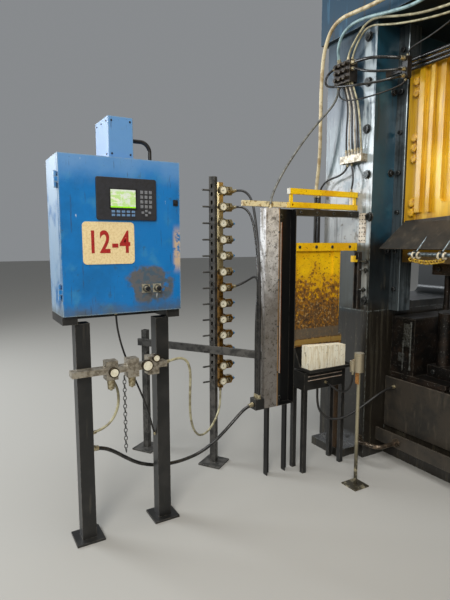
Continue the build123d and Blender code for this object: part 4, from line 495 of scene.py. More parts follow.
def wood():
    """Pale sawn wood with grain along Z and dark end marks."""
    f = Finish("sawn_wood", (250, 244, 222), 0.6)
    f.layer(f.patches(0.012, 0.44, 0.64, stretch=(1, 1, 0.12)), (226, 212, 178))
    f.layer(f.patches(0.02, 0.58, 0.68, seed=3.0), (110, 96, 72), 0.75, 0.7)
    f.worn_edges(0.003, (0.02, 0.4, 0.5), (90, 78, 58), 0.7, 0.7)
    f.bump(f.noise(0.004, stretch=(1, 1, 0.1)), 0.3, 0.0006)
    return f.done()


def screen():
    """A lit screen: pale rows above, a green band below."""
    f = Finish("screen", (206, 210, 186), 0.2)
    rows = f.step(f.math("SINE", f.math("MULTIPLY", f.axes[Z], 420.0)), 0.1, 0.3)
    f.layer(f.both(rows, f.patches(0.03, 0.4, 0.5, stretch=(1, 1, 3))), (150, 196, 84), 0.2, 0.7)
    f.layer(f.patches(0.03, 0.5, 0.6, seed=2.0), (204, 206, 204), 0.2, 0.7)
    f.layer(f.past(Z, 1.712, 1.71), (140, 216, 20))
    f.layer(f.past(Z, 1.776, 1.79), (208, 212, 208), 0.2, 0.7)
    material = f.done()
    f.tree.links.new(f.colour, f.shader.inputs["Emission Color"])
    f.shader.inputs["Emission Strength"].default_value = 0.4
    return material


finishes = {
    "press_blue": press_paint(),
    "slide_yellow": slide_paint(),
    "guard_yellow": guard_paint(),
    "dark_sheet": dark_sheet(),
    "oiled_casting": oiled_casting(),
    "machined_steel": machined_steel(),
    "black_frame": black_paint(),
    "stained_sheet": stained_sheet(),
    "emitter_housing": simple("emitter_black", (16, 16, 16), (30, 29, 28), 0.45, size=0.05),
    "motor_paint": simple("motor_paint", (52, 84, 98), (36, 62, 74), 0.4, size=0.2, edge=(110, 112, 108)),
    "cabinet_blue": cabinet_paint(),
    "display_plastic": simple("display_black", (44, 44, 48), (36, 36, 39), 0.5, size=0.03),
    "plate_cream": simple(
        "cream_plate", (240, 218, 166), (226, 200, 146), 0.5,
        size=0.01, spots=(170, 140, 96),
    ),
    "switch_plate": simple("pale_metal", (196, 190, 168), (150, 144, 126), 0.4, 0.6, spots=(40, 34, 26)),
    "cast_fitting": simple("cast_fitting", (176, 168, 152), (128, 118, 102), 0.42, 0.7, spots=(30, 26, 20)),
    "brass_valve": simple(
        "old_brass", (176, 136, 62), (120, 88, 40), 0.36, 0.9,
        spots=(26, 20, 12), edge=(224, 196, 126),
    ),
    "post_grey": simple(
        "post_grey", (78, 76, 72), (38, 37, 34), 0.5,
        size=0.05, spots=(18, 16, 13), edge=(160, 156, 148),
    ),
    "bare_wood": wood(),
    "hose_rubber": simple("hose_rubber", (30, 29, 28), (48, 46, 42), 0.42, size=0.04),
    "bolt": simple("bolt_steel", (110, 112, 108), (60, 58, 52), 0.36, 0.8, size=0.012, spots=(20, 16, 12)),
    "yellow_bolt": simple(
        "bolt_yellow", (222, 170, 26), (176, 124, 14), 0.36,
        size=0.02, spots=(60, 36, 12),
    ),
    "dial": simple("dial_white", (232, 226, 204), (214, 206, 180), 0.5, size=0.02),
    "black": simple("black_plastic", (20, 20, 21), (30, 30, 31), 0.4, size=0.01),
    "red": simple("red_paint", (178, 34, 26), (150, 26, 22), 0.5, size=0.01),
    "key_blue": simple("key_blue", (108, 142, 178), (90, 122, 160), 0.5, size=0.01),
    "key_grey": simple("key_grey", (128, 130, 134), (108, 110, 114), 0.5, size=0.01),
    "lens": simple("lens_pale", (206, 190, 176), (184, 160, 140), 0.25, size=0.03),
    "screen": screen(),
    "grease": simple("yellow_grease", (196, 160, 52), (120, 88, 24), 0.3, size=0.012, spots=(50, 34, 14)),
    "hose_black": simple("hose_black", (24, 23, 22), (40, 38, 35), 0.4, size=0.04),
    "hose_gloss": simple("hose_gloss", (28, 28, 27), (54, 52, 48), 0.2, size=0.04),
    "hose_white": simple(
        "hose_white", (196, 190, 176), (150, 140, 120), 0.4,
        size=0.03, spots=(60, 50, 38),
    ),
    "hose_cream": simple(
        "hose_cream", (206, 192, 156), (160, 138, 100), 0.36,
        size=0.06, spots=(84, 66, 44),
    ),
    "hose_teal": simple("hose_teal", (150, 178, 180), (104, 130, 134), 0.34, size=0.06, spots=(60, 66, 60)),
    "hose_pale": simple("hose_pale", (182, 176, 142), (132, 124, 96), 0.36, size=0.04, spots=(56, 50, 38)),
    "hose_grey": simple("hose_grey", (112, 112, 106), (76, 76, 72), 0.36, size=0.04, spots=(36, 34, 30)),
    "lead": simple("pale_lead", (214, 206, 184), (166, 154, 128), 0.45, size=0.02, spots=(70, 58, 40)),
    "copper": simple("copper_strip", (184, 112, 72), (140, 82, 54), 0.35, 0.7, size=0.02),
    "union_blue": simple("union_blue", (70, 130, 176), (44, 92, 132), 0.35, size=0.01),
    "dark_brass": simple(
        "dark_brass", (56, 44, 26), (30, 25, 18), 0.4, 0.7,
        size=0.01, edge=(150, 120, 66),
    ),
    "silver_brass": simple(
        "silver_brass", (190, 180, 150), (140, 126, 94), 0.34, 0.8,
        size=0.012, spots=(40, 32, 22),
    ),
    "tag_brown": simple("tag_brown", (170, 118, 58), (120, 80, 40), 0.5, size=0.012, spots=(50, 34, 20)),
    "white": simple("white_card", (226, 224, 214), (196, 192, 178), 0.55, size=0.02, spots=(90, 84, 70)),
    "bolt_dark": simple(
        "bolt_dark", (52, 54, 54), (26, 27, 27), 0.34, 0.7,
        size=0.012, edge=(170, 172, 168),
    ),
}

slot_of = {row["node"]: row["material_slot"] for row in frame["record"]["subparts"]}
special = {
    "valve_stack": valve_brass(),
    "front_brackets": bracket_paint(),
    "service_pipes": service_pipe(),
    "hose_cluster": simple("cluster_dark", (54, 48, 42), (28, 25, 22), 0.4, 0.6, edge=(176, 156, 124)),
    "slide_harness": finishes["hose_gloss"],
    "box_conduit": finishes["hose_black"],
}
for name, node in nodes.items():
    node.data.materials.clear()
    node.data.materials.append(special.get(name) or finishes[slot_of[name]])


# Shapes: bolt sizes are shares of the width, the crown's span shares of the height, angles degrees

HEAD_HEIGHT = 0.42
WASHER_HEIGHT = 0.1
WASHER_RADIUS = 0.62
CROWN_RADII = (0.4, 0.34)
CROWN_SPAN = (0.98, 1.08)
TUBE_SIDES = 8
SMOOTH_UNDER = 35
BEVEL_OVER = 40


class Shape:
    """One mesh made of several solids, placed in the part's frame."""

    def __init__(self):
        self.mesh = bmesh.new()

    def block(self, centre, size):
        place = Matrix.Translation(centre) @ Matrix.Diagonal((*size, 1.0))
        bmesh.ops.create_cube(self.mesh, size=1.0, matrix=place)

    def rod(self, start, end, radius, end_radius=None, sides=24):
        start, end = Vector(start), Vector(end)
        direction = end - start
        turn = direction.to_track_quat("Z", "Y").to_matrix().to_4x4()
        bmesh.ops.create_cone(
            self.mesh,
            cap_ends=True,
            segments=sides,
            radius1=radius,
            radius2=radius if end_radius is None else end_radius,
            depth=direction.length,
            matrix=Matrix.Translation((start + end) / 2) @ turn,
        )

    def peg(self, at, start, stop, radius, end_radius=None, sides=24):
        """A rod along X between two distances from a place."""
        self.rod(at + Vector((start, 0, 0)), at + Vector((stop, 0, 0)), radius, end_radius, sides)

    def ring(self, centre, axis, radius, thickness, sides=24, stretch=1.0, turn=0.0):
        """A torus about the axis, longer one way for a chain link."""
        tipped = Vector(axis).to_track_quat("Z", "Y").to_matrix().to_4x4()
        place = Matrix.Translation(centre) @ tipped @ Matrix.Rotation(turn, 4, "Z")
        loops = []
        for i in range(sides):
            angle = math.tau * i / sides
            out = Vector((math.cos(angle), math.sin(angle), 0))
            middle = Vector((out.x * radius * stretch, out.y * radius, 0))
            loop = []
            for k in range(TUBE_SIDES):
                tilt = math.tau * k / TUBE_SIDES
                rise = Vector((0, 0, math.sin(tilt) * thickness))
                loop.append(self.mesh.verts.new(place @ (middle + out * math.cos(tilt) * thickness + rise)))
            loops.append(loop)
        for i in range(sides):
            here, there = loops[i], loops[(i + 1) % sides]
            for k in range(TUBE_SIDES):
                after = (k + 1) % TUBE_SIDES
                self.mesh.faces.new((here[k], there[k], there[after], here[after]))

    def bolt(self, foot, axis, across, height=None, washer=True, sides=6):
        """A head of that width across its corners on a washer, standing on foot along axis."""
        foot, axis = Vector(foot), Vector(axis).normalized()
        height = across * HEAD_HEIGHT if height is None else height
        if washer:
            self.rod(foot, foot + axis * across * WASHER_HEIGHT, across * WASHER_RADIUS)
        self.rod(foot, foot + axis * height, across / 2, sides=sides)
        crown_foot, crown_top = (foot + axis * height * share for share in CROWN_SPAN)
        crown_radius, crown_top_radius = (across * share for share in CROWN_RADII)
        self.rod(crown_foot, crown_top, crown_radius, crown_top_radius, sides=sides * 2)

    def piece(self, name, finish, slot, bevel=0.0, body=PRESS):
        """The finished object, riding on its body."""
        bmesh.ops.recalc_face_normals(self.mesh, faces=self.mesh.faces)
        for face in self.mesh.faces:
            face.smooth = True
        for edge in self.mesh.edges:
            edge.smooth = len(edge.link_faces) == 2 and edge.calc_face_angle() < math.radians(SMOOTH_UNDER)
        data = bpy.data.meshes.new(name)
        self.mesh.to_mesh(data)
        self.mesh.free()
        made = bpy.data.objects.new(name, data)
        bpy.context.scene.collection.objects.link(made)
        data.materials.append(finishes[finish])
        if bevel:
            modifier = made.modifiers.new("edges", "BEVEL")
            modifier.width = bevel
            modifier.segments = 2
            modifier.limit_method = "ANGLE"
            modifier.angle_limit = math.radians(BEVEL_OVER)
        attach(made, body)


# Camera of the photo
camera_data = bpy.data.cameras.new("photo_view")
FOCAL_PIXELS = 480
LONG_SIDE_PIXELS = 600
camera_data.sensor_width = 36.0
camera_data.lens = FOCAL_PIXELS / LONG_SIDE_PIXELS * camera_data.sensor_width
camera_data.clip_end = 200.0
camera = bpy.data.objects.new("photo_view", camera_data)
bpy.context.scene.collection.objects.link(camera)
camera.location = (1.247, -3.250, 1.540)
camera.rotation_euler = (math.radians(83.07), 0, math.radians(59.9))
bpy.context.scene.camera = camera


# Hoses: diameter, finish and a route from exit to exit

# Ferrule and union sizes are in hose diameters
FERRULE_LENGTH, FERRULE_RADIUS = 1.6, 0.68
UNION_LENGTH, UNION_RADIUS = 0.7, 0.85
ferrules = Shape()


def hose(name, node, diameter, finish, route):
    """A hose on one smooth curve that stands for its CAD tube, with a ferrule at each end."""
    curve = bpy.data.curves.new(name, "CURVE")
    curve.dimensions = "3D"
    curve.bevel_depth = diameter / 2
    curve.bevel_resolution = 5
    curve.resolution_u = 8
    curve.use_fill_caps = True
    spline = curve.splines.new("NURBS")
    spline.points.add(len(route) - 1)
    for point, place in zip(spline.points, route):
        point.co = (*place, 1.0)
    spline.order_u = 3
    spline.use_endpoint_u = True
    curve.materials.append(finishes[finish])
    made = bpy.data.objects.new(name, curve)
    bpy.context.scene.collection.objects.link(made)
    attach(made, PRESS)
    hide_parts(node)
    for end, inner in ((route[0], route[1]), (route[-1], route[-2])):
        end = Vector(end)
        away = (Vector(inner) - end).normalized()
        ferrules.rod(end, end + away * diameter * FERRULE_LENGTH, diameter * FERRULE_RADIUS)
        ferrules.rod(end, end + away * diameter * UNION_LENGTH, diameter * UNION_RADIUS, sides=6)


# The drop hoses hang side by side: X, its spread from hose to hose, Y and Z of each point
drop_finishes = ("hose_black", "hose_white", "hose_black", "hose_white", "hose_black", "hose_pale")
drop_route = (
    (-1.25, 0.028, -0.78, 2.154), (-1.247, 0.027, -0.792, 2.265), (-1.24, 0.023, -0.802, 2.355),
    (-1.244, 0.019, -0.804, 2.445), (-1.276, 0.017, -0.796, 2.53), (-1.325, 0.016, -0.782, 2.62),
)
for count, finish in enumerate(drop_finishes):
    across = count - (len(drop_finishes) - 1) / 2
    route = [(x + across * spread, y, z) for x, spread, y, z in drop_route]
    hose(f"drop_hose_{count + 1}", "drop_hoses", 0.012, finish, route)

hose("main_cream_hose", "crown_hoses", 0.026, "hose_cream", [
    (-0.1, -0.85, 3.12), (-0.2, -0.855, 3.118), (-0.33, -0.865, 3.1), (-0.48, -0.875, 3.06),
    (-0.64, -0.88, 3.018), (-0.82, -0.88, 2.992), (-1.02, -0.88, 2.989), (-1.19, -0.88, 3.005),
    (-1.31, -0.88, 3.012), (-1.395, -0.88, 2.975), (-1.45, -0.878, 2.89), (-1.483, -0.872, 2.79),
    (-1.505, -0.862, 2.62), (-1.518, -0.85, 2.4), (-1.532, -0.836, 2.23), (-1.56, -0.82, 2.09),
    (-1.592, -0.806, 1.985), (-1.606, -0.801, 1.92), (-1.608, -0.8, 1.87),
])
hose("crown_teal_hose", "crown_hoses", 0.02, "hose_teal", [
    (-0.1, -0.825, 3.04), (-0.19, -0.83, 3.034), (-0.31, -0.84, 3), (-0.45, -0.848, 2.94),
    (-0.6, -0.85, 2.893), (-0.76, -0.85, 2.885), (-0.93, -0.85, 2.915), (-1.08, -0.85, 2.948),
    (-1.21, -0.85, 2.962), (-1.31, -0.848, 2.935), (-1.368, -0.838, 2.87), (-1.386, -0.82, 2.81),
    (-1.388, -0.8, 2.76),
])
hose("crown_pale_hose", "crown_hoses", 0.014, "hose_pale", [
    (-0.06, -0.83, 3), (-0.064, -0.828, 2.94), (-0.095, -0.826, 2.88), (-0.165, -0.825, 2.83),
    (-0.27, -0.825, 2.802), (-0.4, -0.825, 2.795), (-0.54, -0.825, 2.808), (-0.69, -0.825, 2.828),
    (-0.84, -0.825, 2.868), (-0.96, -0.825, 2.908), (-1.055, -0.825, 2.938), (-1.13, -0.825, 2.932),
    (-1.19, -0.824, 2.89), (-1.244, -0.818, 2.848), (-1.284, -0.811, 2.812), (-1.3, -0.806, 2.785),
    (-1.302, -0.805, 2.76),
])
hose("crown_thin_hose", "crown_hoses", 0.012, "hose_pale", [
    (0.04, -0.812, 3), (0.038, -0.811, 2.94), (0.015, -0.81, 2.88), (-0.045, -0.809, 2.825),
    (-0.14, -0.808, 2.785), (-0.26, -0.808, 2.765), (-0.4, -0.808, 2.762), (-0.54, -0.808, 2.775),
    (-0.7, -0.808, 2.8), (-0.85, -0.808, 2.834), (-0.98, -0.808, 2.872), (-1.08, -0.808, 2.908),
    (-1.15, -0.808, 2.908), (-1.2, -0.806, 2.868), (-1.24, -0.8, 2.826), (-1.264, -0.794, 2.798),
    (-1.276, -0.791, 2.776), (-1.278, -0.79, 2.76),
])
hose("crown_cable", "crown_hoses", 0.01, "hose_black", [
    (-0.94, -0.65, 2.7), (-0.934, -0.652, 2.722), (-0.908, -0.658, 2.742), (-0.85, -0.668, 2.748),
    (-0.76, -0.68, 2.754), (-0.65, -0.69, 2.774), (-0.54, -0.697, 2.812), (-0.45, -0.7, 2.856),
    (-0.395, -0.701, 2.905), (-0.38, -0.7, 2.95),
])
hose("curtain_hose", "crown_hoses", 0.016, "hose_grey", [
    (-1.4, -0.79, 2.62), (-1.402, -0.796, 2.57), (-1.398, -0.822, 2.515), (-1.388, -0.88, 2.45),
    (-1.37, -0.97, 2.375), (-1.348, -1.08, 2.275), (-1.322, -1.195, 2.16), (-1.296, -1.305, 2.04),
    (-1.272, -1.395, 1.93), (-1.254, -1.455, 1.84), (-1.243, -1.478, 1.79), (-1.242, -1.48, 1.748),
])
hose("upper_loop", "front_hoses", 0.02, "hose_gloss", [
    (-1.27, -0.8, 2.738), (-1.195, -0.803, 2.733), (-1.11, -0.797, 2.722), (-1.04, -0.775, 2.708),
    (-0.985, -0.735, 2.697), (-0.952, -0.7, 2.69), (-0.942, -0.67, 2.687),
])
hose("middle_loop", "front_hoses", 0.016, "hose_gloss", [
    (-1.27, -0.8, 2.7), (-1.225, -0.804, 2.688), (-1.16, -0.808, 2.655), (-1.092, -0.8, 2.632),
    (-1.03, -0.778, 2.62), (-0.978, -0.742, 2.617), (-0.947, -0.706, 2.619), (-0.938, -0.67, 2.622),
])
hose("oval_loop", "front_hoses", 0.016, "hose_gloss", [
    (-1.42, -0.8, 2.742), (-1.455, -0.806, 2.74), (-1.488, -0.82, 2.716), (-1.494, -0.836, 2.672),
    (-1.466, -0.848, 2.632), (-1.404, -0.856, 2.606), (-1.312, -0.858, 2.586), (-1.212, -0.85, 2.568),
    (-1.118, -0.832, 2.556), (-1.04, -0.8, 2.553), (-0.983, -0.758, 2.562), (-0.953, -0.714, 2.573),
    (-0.941, -0.67, 2.585),
])
hose("lower_loop", "front_hoses", 0.01, "hose_black", [
    (-1.381, -0.805, 2.62), (-1.381, -0.808, 2.585), (-1.368, -0.816, 2.545), (-1.33, -0.825, 2.51),
    (-1.265, -0.83, 2.487), (-1.19, -0.828, 2.475), (-1.11, -0.812, 2.475), (-1.045, -0.77, 2.488),
    (-1.005, -0.722, 2.508), (-0.97, -0.682, 2.528), (-0.95, -0.662, 2.546), (-0.944, -0.652, 2.57),
])
hose("block_hose", "front_hoses", 0.014, "hose_black", [
    (-1.3, -0.78, 2.078), (-1.302, -0.788, 2.05), (-1.32, -0.797, 2.022), (-1.362, -0.803, 2.002),
    (-1.425, -0.806, 1.992), (-1.49, -0.806, 1.978), (-1.54, -0.804, 1.945), (-1.566, -0.801, 1.905),
    (-1.572, -0.8, 1.87),
])
hose("bar_hose", "front_hoses", 0.012, "hose_black", [
    (-1.262, -0.78, 2.078), (-1.258, -0.786, 2.052), (-1.24, -0.794, 2.02), (-1.228, -0.8, 1.98),
    (-1.228, -0.802, 1.94), (-1.238, -0.801, 1.905), (-1.242, -0.8, 1.878),
])
hose("bed_hose", "front_hoses", 0.016, "hose_black", [
    (-1.01, -0.552, 0.52), (-1.01, -0.605, 0.517), (-1.014, -0.675, 0.498), (-1.026, -0.75, 0.46),
    (-1.05, -0.82, 0.41), (-1.078, -0.885, 0.365), (-1.096, -0.95, 0.338), (-1.122, -1.01, 0.328),
    (-1.158, -1.058, 0.342), (-1.188, -1.086, 0.382), (-1.2, -1.096, 0.438), (-1.201, -1.099, 0.505),
    (-1.199, -1.1, 0.568),
])
hose("bowl_hose", "front_hoses", 0.012, "hose_black", [
    (-0.892, -1.081, 0.73), (-0.893, -1.082, 0.69), (-0.903, -1.083, 0.644), (-0.926, -1.085, 0.602),
    (-0.966, -1.088, 0.578), (-1.014, -1.09, 0.574), (-1.06, -1.092, 0.586), (-1.098, -1.094, 0.602),
    (-1.129, -1.095, 0.606),
])
hose("side_loop", "stand_hoses", 0.014, "hose_pale", [
    (-1.15, -2.654, 0.885), (-1.15, -2.606, 0.88), (-1.15, -2.556, 0.852), (-1.15, -2.52, 0.8),
    (-1.15, -2.506, 0.735), (-1.15, -2.513, 0.668), (-1.15, -2.545, 0.608), (-1.15, -2.597, 0.57),
    (-1.15, -2.654, 0.56),
])
hose("hanging_hose", "stand_hoses", 0.02, "hose_gloss", [
    (-1.15, -2.654, 0.478), (-1.152, -2.6, 0.47), (-1.16, -2.54, 0.435), (-1.175, -2.475, 0.38),
    (-1.195, -2.395, 0.318), (-1.212, -2.3, 0.275), (-1.225, -2.2, 0.252), (-1.235, -2.09, 0.248),
    (-1.242, -1.98, 0.265), (-1.246, -1.88, 0.31), (-1.248, -1.79, 0.375), (-1.246, -1.715, 0.44),
    (-1.243, -1.655, 0.49), (-1.242, -1.6, 0.503),
])
hose("air_feed", "stand_hoses", 0.014, "hose_pale", [
    (-1.084, -2.27, 0.9), (-1.086, -2.225, 0.908), (-1.092, -2.172, 0.912), (-1.102, -2.128, 0.885),
    (-1.115, -2.105, 0.825), (-1.13, -2.098, 0.75), (-1.15, -2.092, 0.66), (-1.18, -2.078, 0.56),
    (-1.225, -2.045, 0.46), (-1.285, -1.99, 0.375), (-1.355, -1.92, 0.318), (-1.425, -1.835, 0.3),
    (-1.49, -1.75, 0.325), (-1.528, -1.69, 0.385), (-1.556, -1.662, 0.458), (-1.569, -1.655, 0.536),
])
hose("cabinet_cable", "stand_hoses", 0.01, "hose_black", [
    (-1.15, -2.51, 1.183), (-1.15, -2.508, 1.13), (-1.15, -2.5, 1.07), (-1.15, -2.484, 1),
    (-1.15, -2.46, 0.925), (-1.15, -2.43, 0.845), (-1.15, -2.397, 0.765), (-1.15, -2.368, 0.69),
    (-1.15, -2.345, 0.622), (-1.15, -2.33, 0.562), (-1.15, -2.319, 0.515), (-1.15, -2.306, 0.482),
])
hose("valve_hose_1", "stand_hoses", 0.016, "hose_black", [
    (-1.5696, -1.56, 1.874), (-1.564, -1.52, 1.884), (-1.535, -1.488, 1.878), (-1.49, -1.475, 1.845),
    (-1.435, -1.485, 1.79), (-1.38, -1.505, 1.715), (-1.325, -1.528, 1.625), (-1.275, -1.548, 1.52),
    (-1.24, -1.562, 1.405), (-1.224, -1.567, 1.27), (-1.22, -1.568, 1.1), (-1.223, -1.566, 0.96),
    (-1.22, -1.568, 0.82), (-1.223, -1.566, 0.68), (-1.222, -1.567, 0.54),
])
hose("valve_hose_2", "stand_hoses", 0.016, "hose_gloss", [
    (-1.5696, -1.56, 1.767), (-1.564, -1.52, 1.776), (-1.535, -1.488, 1.768), (-1.488, -1.476, 1.732),
    (-1.43, -1.486, 1.672), (-1.372, -1.506, 1.592), (-1.318, -1.53, 1.495), (-1.274, -1.55, 1.385),
    (-1.251, -1.563, 1.27), (-1.243, -1.567, 1.14), (-1.245, -1.568, 0.985), (-1.241, -1.566, 0.83),
    (-1.243, -1.568, 0.68), (-1.242, -1.567, 0.54),
])
hose("valve_hose_3", "stand_hoses", 0.016, "hose_black", [
    (-1.5696, -1.56, 1.232), (-1.564, -1.52, 1.24), (-1.54, -1.482, 1.262), (-1.5, -1.462, 1.288),
    (-1.45, -1.46, 1.306), (-1.394, -1.476, 1.302), (-1.342, -1.5, 1.272), (-1.3, -1.53, 1.218),
    (-1.276, -1.552, 1.145), (-1.265, -1.564, 1.05), (-1.262, -1.568, 0.93), (-1.265, -1.566, 0.8),
    (-1.261, -1.568, 0.67), (-1.262, -1.567, 0.54),
])

ferrules.piece("hose_ferrules", "silver_brass", "hose_rubber", 0.0006)

# Upright bolts, way screws and gib adjusters
upright_low, upright_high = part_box("left_upright")
upright_front, upright_inner = -upright_low.y, -upright_high.x
upright_places = ((1.168, 2.878), (1.161, 2.592), (1.16, 2.29), (1.145, 1.99), (1.11, 1.707), (1.13, 1.134))
shape = Shape()
for side, face in CORNERS:
    for bolt_x, bolt_z in upright_places:
        shape.bolt((side * bolt_x, face * upright_front, bolt_z), (0, face, 0), 0.05, sides=12)
shape.piece("upright_bolts", "bolt_dark", "machined_steel", 0.001)

gib_low, gib_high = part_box("left_gibs")
gib_front, gib_middle = -gib_low.y, (gib_low.x + gib_high.x) / 2
screw_count, screw_margin, adjuster_reach = 7, 0.15, 0.035
screw_pitch = (gib_high.z - gib_low.z - 2 * screw_margin) / (screw_count - 1)
shape = Shape()
for side, face in CORNERS:
    for row in range(screw_count):
        screw_z = gib_low.z + screw_margin + row * screw_pitch
        screw_place = (side * gib_middle, face * gib_front, screw_z)
        shape.bolt(screw_place, (0, face, 0), 0.034, washer=False, sides=12)
        if row % 2:
            adjuster = (side * upright_inner, face * (gib_front + adjuster_reach), screw_z)
            shape.bolt(adjuster, (-side, 0, 0), 0.042)
shape.piece("gib_screws", "bolt_dark", "machined_steel", 0.0008)

# Slide bolts in a column near each end, and one just past each end
slide_front, slide_end = 0.53, 1.01
slide_bolt, column_inset, end_bolt_inset, end_bolt_z = 0.05, 0.067, 0.03, 2.15
shape = Shape()
for side, face in CORNERS:
    for bolt_z in (2.571, 2.499, 2.216, 2.152, 2.082, 1.796, 1.732):
        foot = Vector((side * (slide_end - column_inset), face * slide_front, bolt_z))
        shape.bolt(foot, (0, face, 0), slide_bolt, sides=10)
        shape.ring(foot, Y_AXIS, 0.031, 0.0035)
    end_place = (side * (slide_end + 0.002), face * (slide_front - end_bolt_inset), end_bolt_z)
    shape.bolt(end_place, (0, face, 0), slide_bolt)
shape.piece("slide_bolts", "yellow_bolt", "slide_yellow", 0.001, body=SLIDE)

# Pale clamps and a hanging greased chain on the knockout bar
bar_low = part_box("knockout_bar")[0]
bar_radius = 0.014
bar_y, bar_z = bar_low.y + bar_radius, bar_low.z + bar_radius
chain_links, chain_start, chain_run, chain_drop, chain_sag = 13, 0.77, 0.22, 0.012, 0.016
clamps, chain = Shape(), Shape()
for side in SIDES:
    for clamp_x in (0.751, 0.715, 0.571, 0.535):
        clamps.ring((side * clamp_x, bar_y, bar_z), X_AXIS, bar_radius + 0.003, 0.0065)
    for link in range(chain_links):
        along = link / (chain_links - 1)
        link_z = bar_z - bar_radius - chain_drop - chain_sag * math.sin(math.pi * along)
        link_place = (side * (chain_start - chain_run * along), bar_y, link_z)
        link_axis = (0.3 if link % 2 else -0.3, 1, 0.2)
        chain.ring(link_place, link_axis, 0.009, 0.005, sides=14, stretch=1.35)
clamps.piece("bar_clamps", "lead", "machined_steel", body=SLIDE)
chain.piece("greased_chain", "grease", "machined_steel", body=SLIDE)

# Wear plates on the lower die, their screws, and screws along both shoes
die_front, die_end, plate_thickness, shoe_front = 0.3, 0.7, 0.012, 0.42
plates, screws = Shape(), Shape()
for side, face in CORNERS:
    for plate_x in (0.12, 0.36, 0.58):
        plate_y = face * (die_front + plate_thickness / 2)
        plates.block((side * plate_x, plate_y, 0.86), (0.09, plate_thickness, 0.16))
        for screw_z in (0.81, 0.91):
            screw_place = (side * plate_x, face * (die_front + plate_thickness), screw_z)
            screws.bolt(screw_place, (0, face, 0), 0.02, washer=False, sides=12)
    for plate_y in (0.08, 0.2):
        plate_x = side * (die_end + plate_thickness / 2)
        plates.block((plate_x, face * plate_y, 0.84), (plate_thickness, 0.07, 0.2))
    for screw_x in (0.2, 0.45, 0.66, 0.8):
        for screw_z in (1.36, 0.66):
            screw_place = (side * screw_x, face * shoe_front, screw_z)
            screws.bolt(screw_place, (0, face, 0), 0.03, 0.01, washer=False, sides=12)
plates.piece("die_wear_plates", "machined_steel", "oiled_casting", 0.001)
screws.piece("die_screws", "bolt_dark", "oiled_casting", 0.0006)

# Riser fronts: a valve block with clips, a tee block and two pipes with nuts
pipe_y, clip_front = -0.542, -0.547
block_x, tee_x, pipe_x, thin_pipe_x = 0.93, 0.975, 0.9, 0.962
shape = Shape()
for side in SIDES:
    shape.block((side * block_x, -0.538, 0.9), (0.06, 0.01, 0.16))
    shape.block((side * tee_x, -0.539, 0.74), (0.045, 0.012, 0.06))
    for clip_z in (0.84, 0.9, 0.96):
        shape.rod((side * block_x, pipe_y, clip_z), (side * block_x, clip_front, clip_z), 0.016)
    shape.rod((side * pipe_x, pipe_y, 0.66), (side * pipe_x, pipe_y, 0.98), 0.006)
    shape.rod((side * thin_pipe_x, -0.541, 0.65), (side * thin_pipe_x, -0.541, 0.86), 0.005)
    for nut_z in (0.66, 0.76, 0.88, 0.98):
        shape.rod((side * pipe_x, pipe_y, nut_z), (side * pipe_x, pipe_y, nut_z + 0.018), 0.0095, sides=6)
shape.piece("riser_fittings", "bolt", "oiled_casting", 0.0006)

# Flywheel cover, motor and tank: flange bolts, cooling fins and weld bands
# The motor's axis is the pulley's. The cover's outline is two arcs and the two lines that touch both
wheel, pulley = Vector((0.45, 3.7)), Vector((-0.9, 4.66))
wheel_radius, pulley_radius, cover_rear = 0.64, 0.16, 1.12
run_bolts, wheel_bolts, pulley_bolts = 5, 13, 4
run = pulley - wheel
lean = math.acos((wheel_radius - pulley_radius) / run.length)
toward = math.atan2(run.y, run.x)


def around(centre, radius, angle):
    """X and Z of a point that far from a centre."""
    return centre + Vector((math.cos(angle), math.sin(angle))) * radius


places = []
for side in SIDES:
    angle = toward + side * lean
    start, end = around(wheel, wheel_radius, angle), around(pulley, pulley_radius, angle)
    places += [start.lerp(end, step / (run_bolts + 1)) for step in range(1, run_bolts + 1)]
for step in range(wheel_bolts):
    angle = toward + lean + (math.tau - 2 * lean) * step / (wheel_bolts - 1)
    places.append(around(wheel, wheel_radius, angle))
for step in range(pulley_bolts):
    angle = toward - lean + 2 * lean * step / (pulley_bolts - 1)
    places.append(around(pulley, pulley_radius, angle))
shape = Shape()
for place in places:
    shape.bolt((place.x, cover_rear, place.y), Y_AXIS, 0.026, 0.009)
shape.piece("cover_bolts", "bolt_dark", "press_blue", 0.0006)

fin_count, fin_start, fin_sweep = 29, -52, 284
fin_front, fin_rear, fin_radius = 0.2, 0.6, 0.0022
shape = Shape()
for fin in range(fin_count):
    angle = math.radians(fin_start + fin_sweep * fin / (fin_count - 1))
    for height in (0.2105, 0.2135, 0.2165):
        foot = around(pulley, height, angle)
        shape.rod((foot.x, fin_front, foot.y), (foot.x, fin_rear, foot.y), fin_radius, sides=4)
shape.piece("motor_fins", "motor_paint", "motor_paint")

tank_y, tank_z, tank_radius = -0.33, 4.66, 0.2495
shape = Shape()
for band_x in (-0.36, 0.25, 0.86):
    shape.ring((band_x, tank_y, tank_z), X_AXIS, tank_radius, 0.005, sides=64)
shape.piece("tank_bands", "motor_paint", "motor_paint")

# Left upright front: rivets, clamp studs and the tag of the regulator
plate_front, rivet_front = -0.754, -0.757
rivet_rows, rivet_first, rivet_pitch = 7, 1.548, 0.0285
shape = Shape()
for rivet_x in (-1.196, -1.173, -1.15):
    for row in range(rivet_rows):
        rivet_z = rivet_first + row * rivet_pitch
        shape.rod((rivet_x, plate_front, rivet_z), (rivet_x, rivet_front, rivet_z), 0.0045, 0.003, sides=12)
shape.piece("plate_rivets", "black", "black_frame")

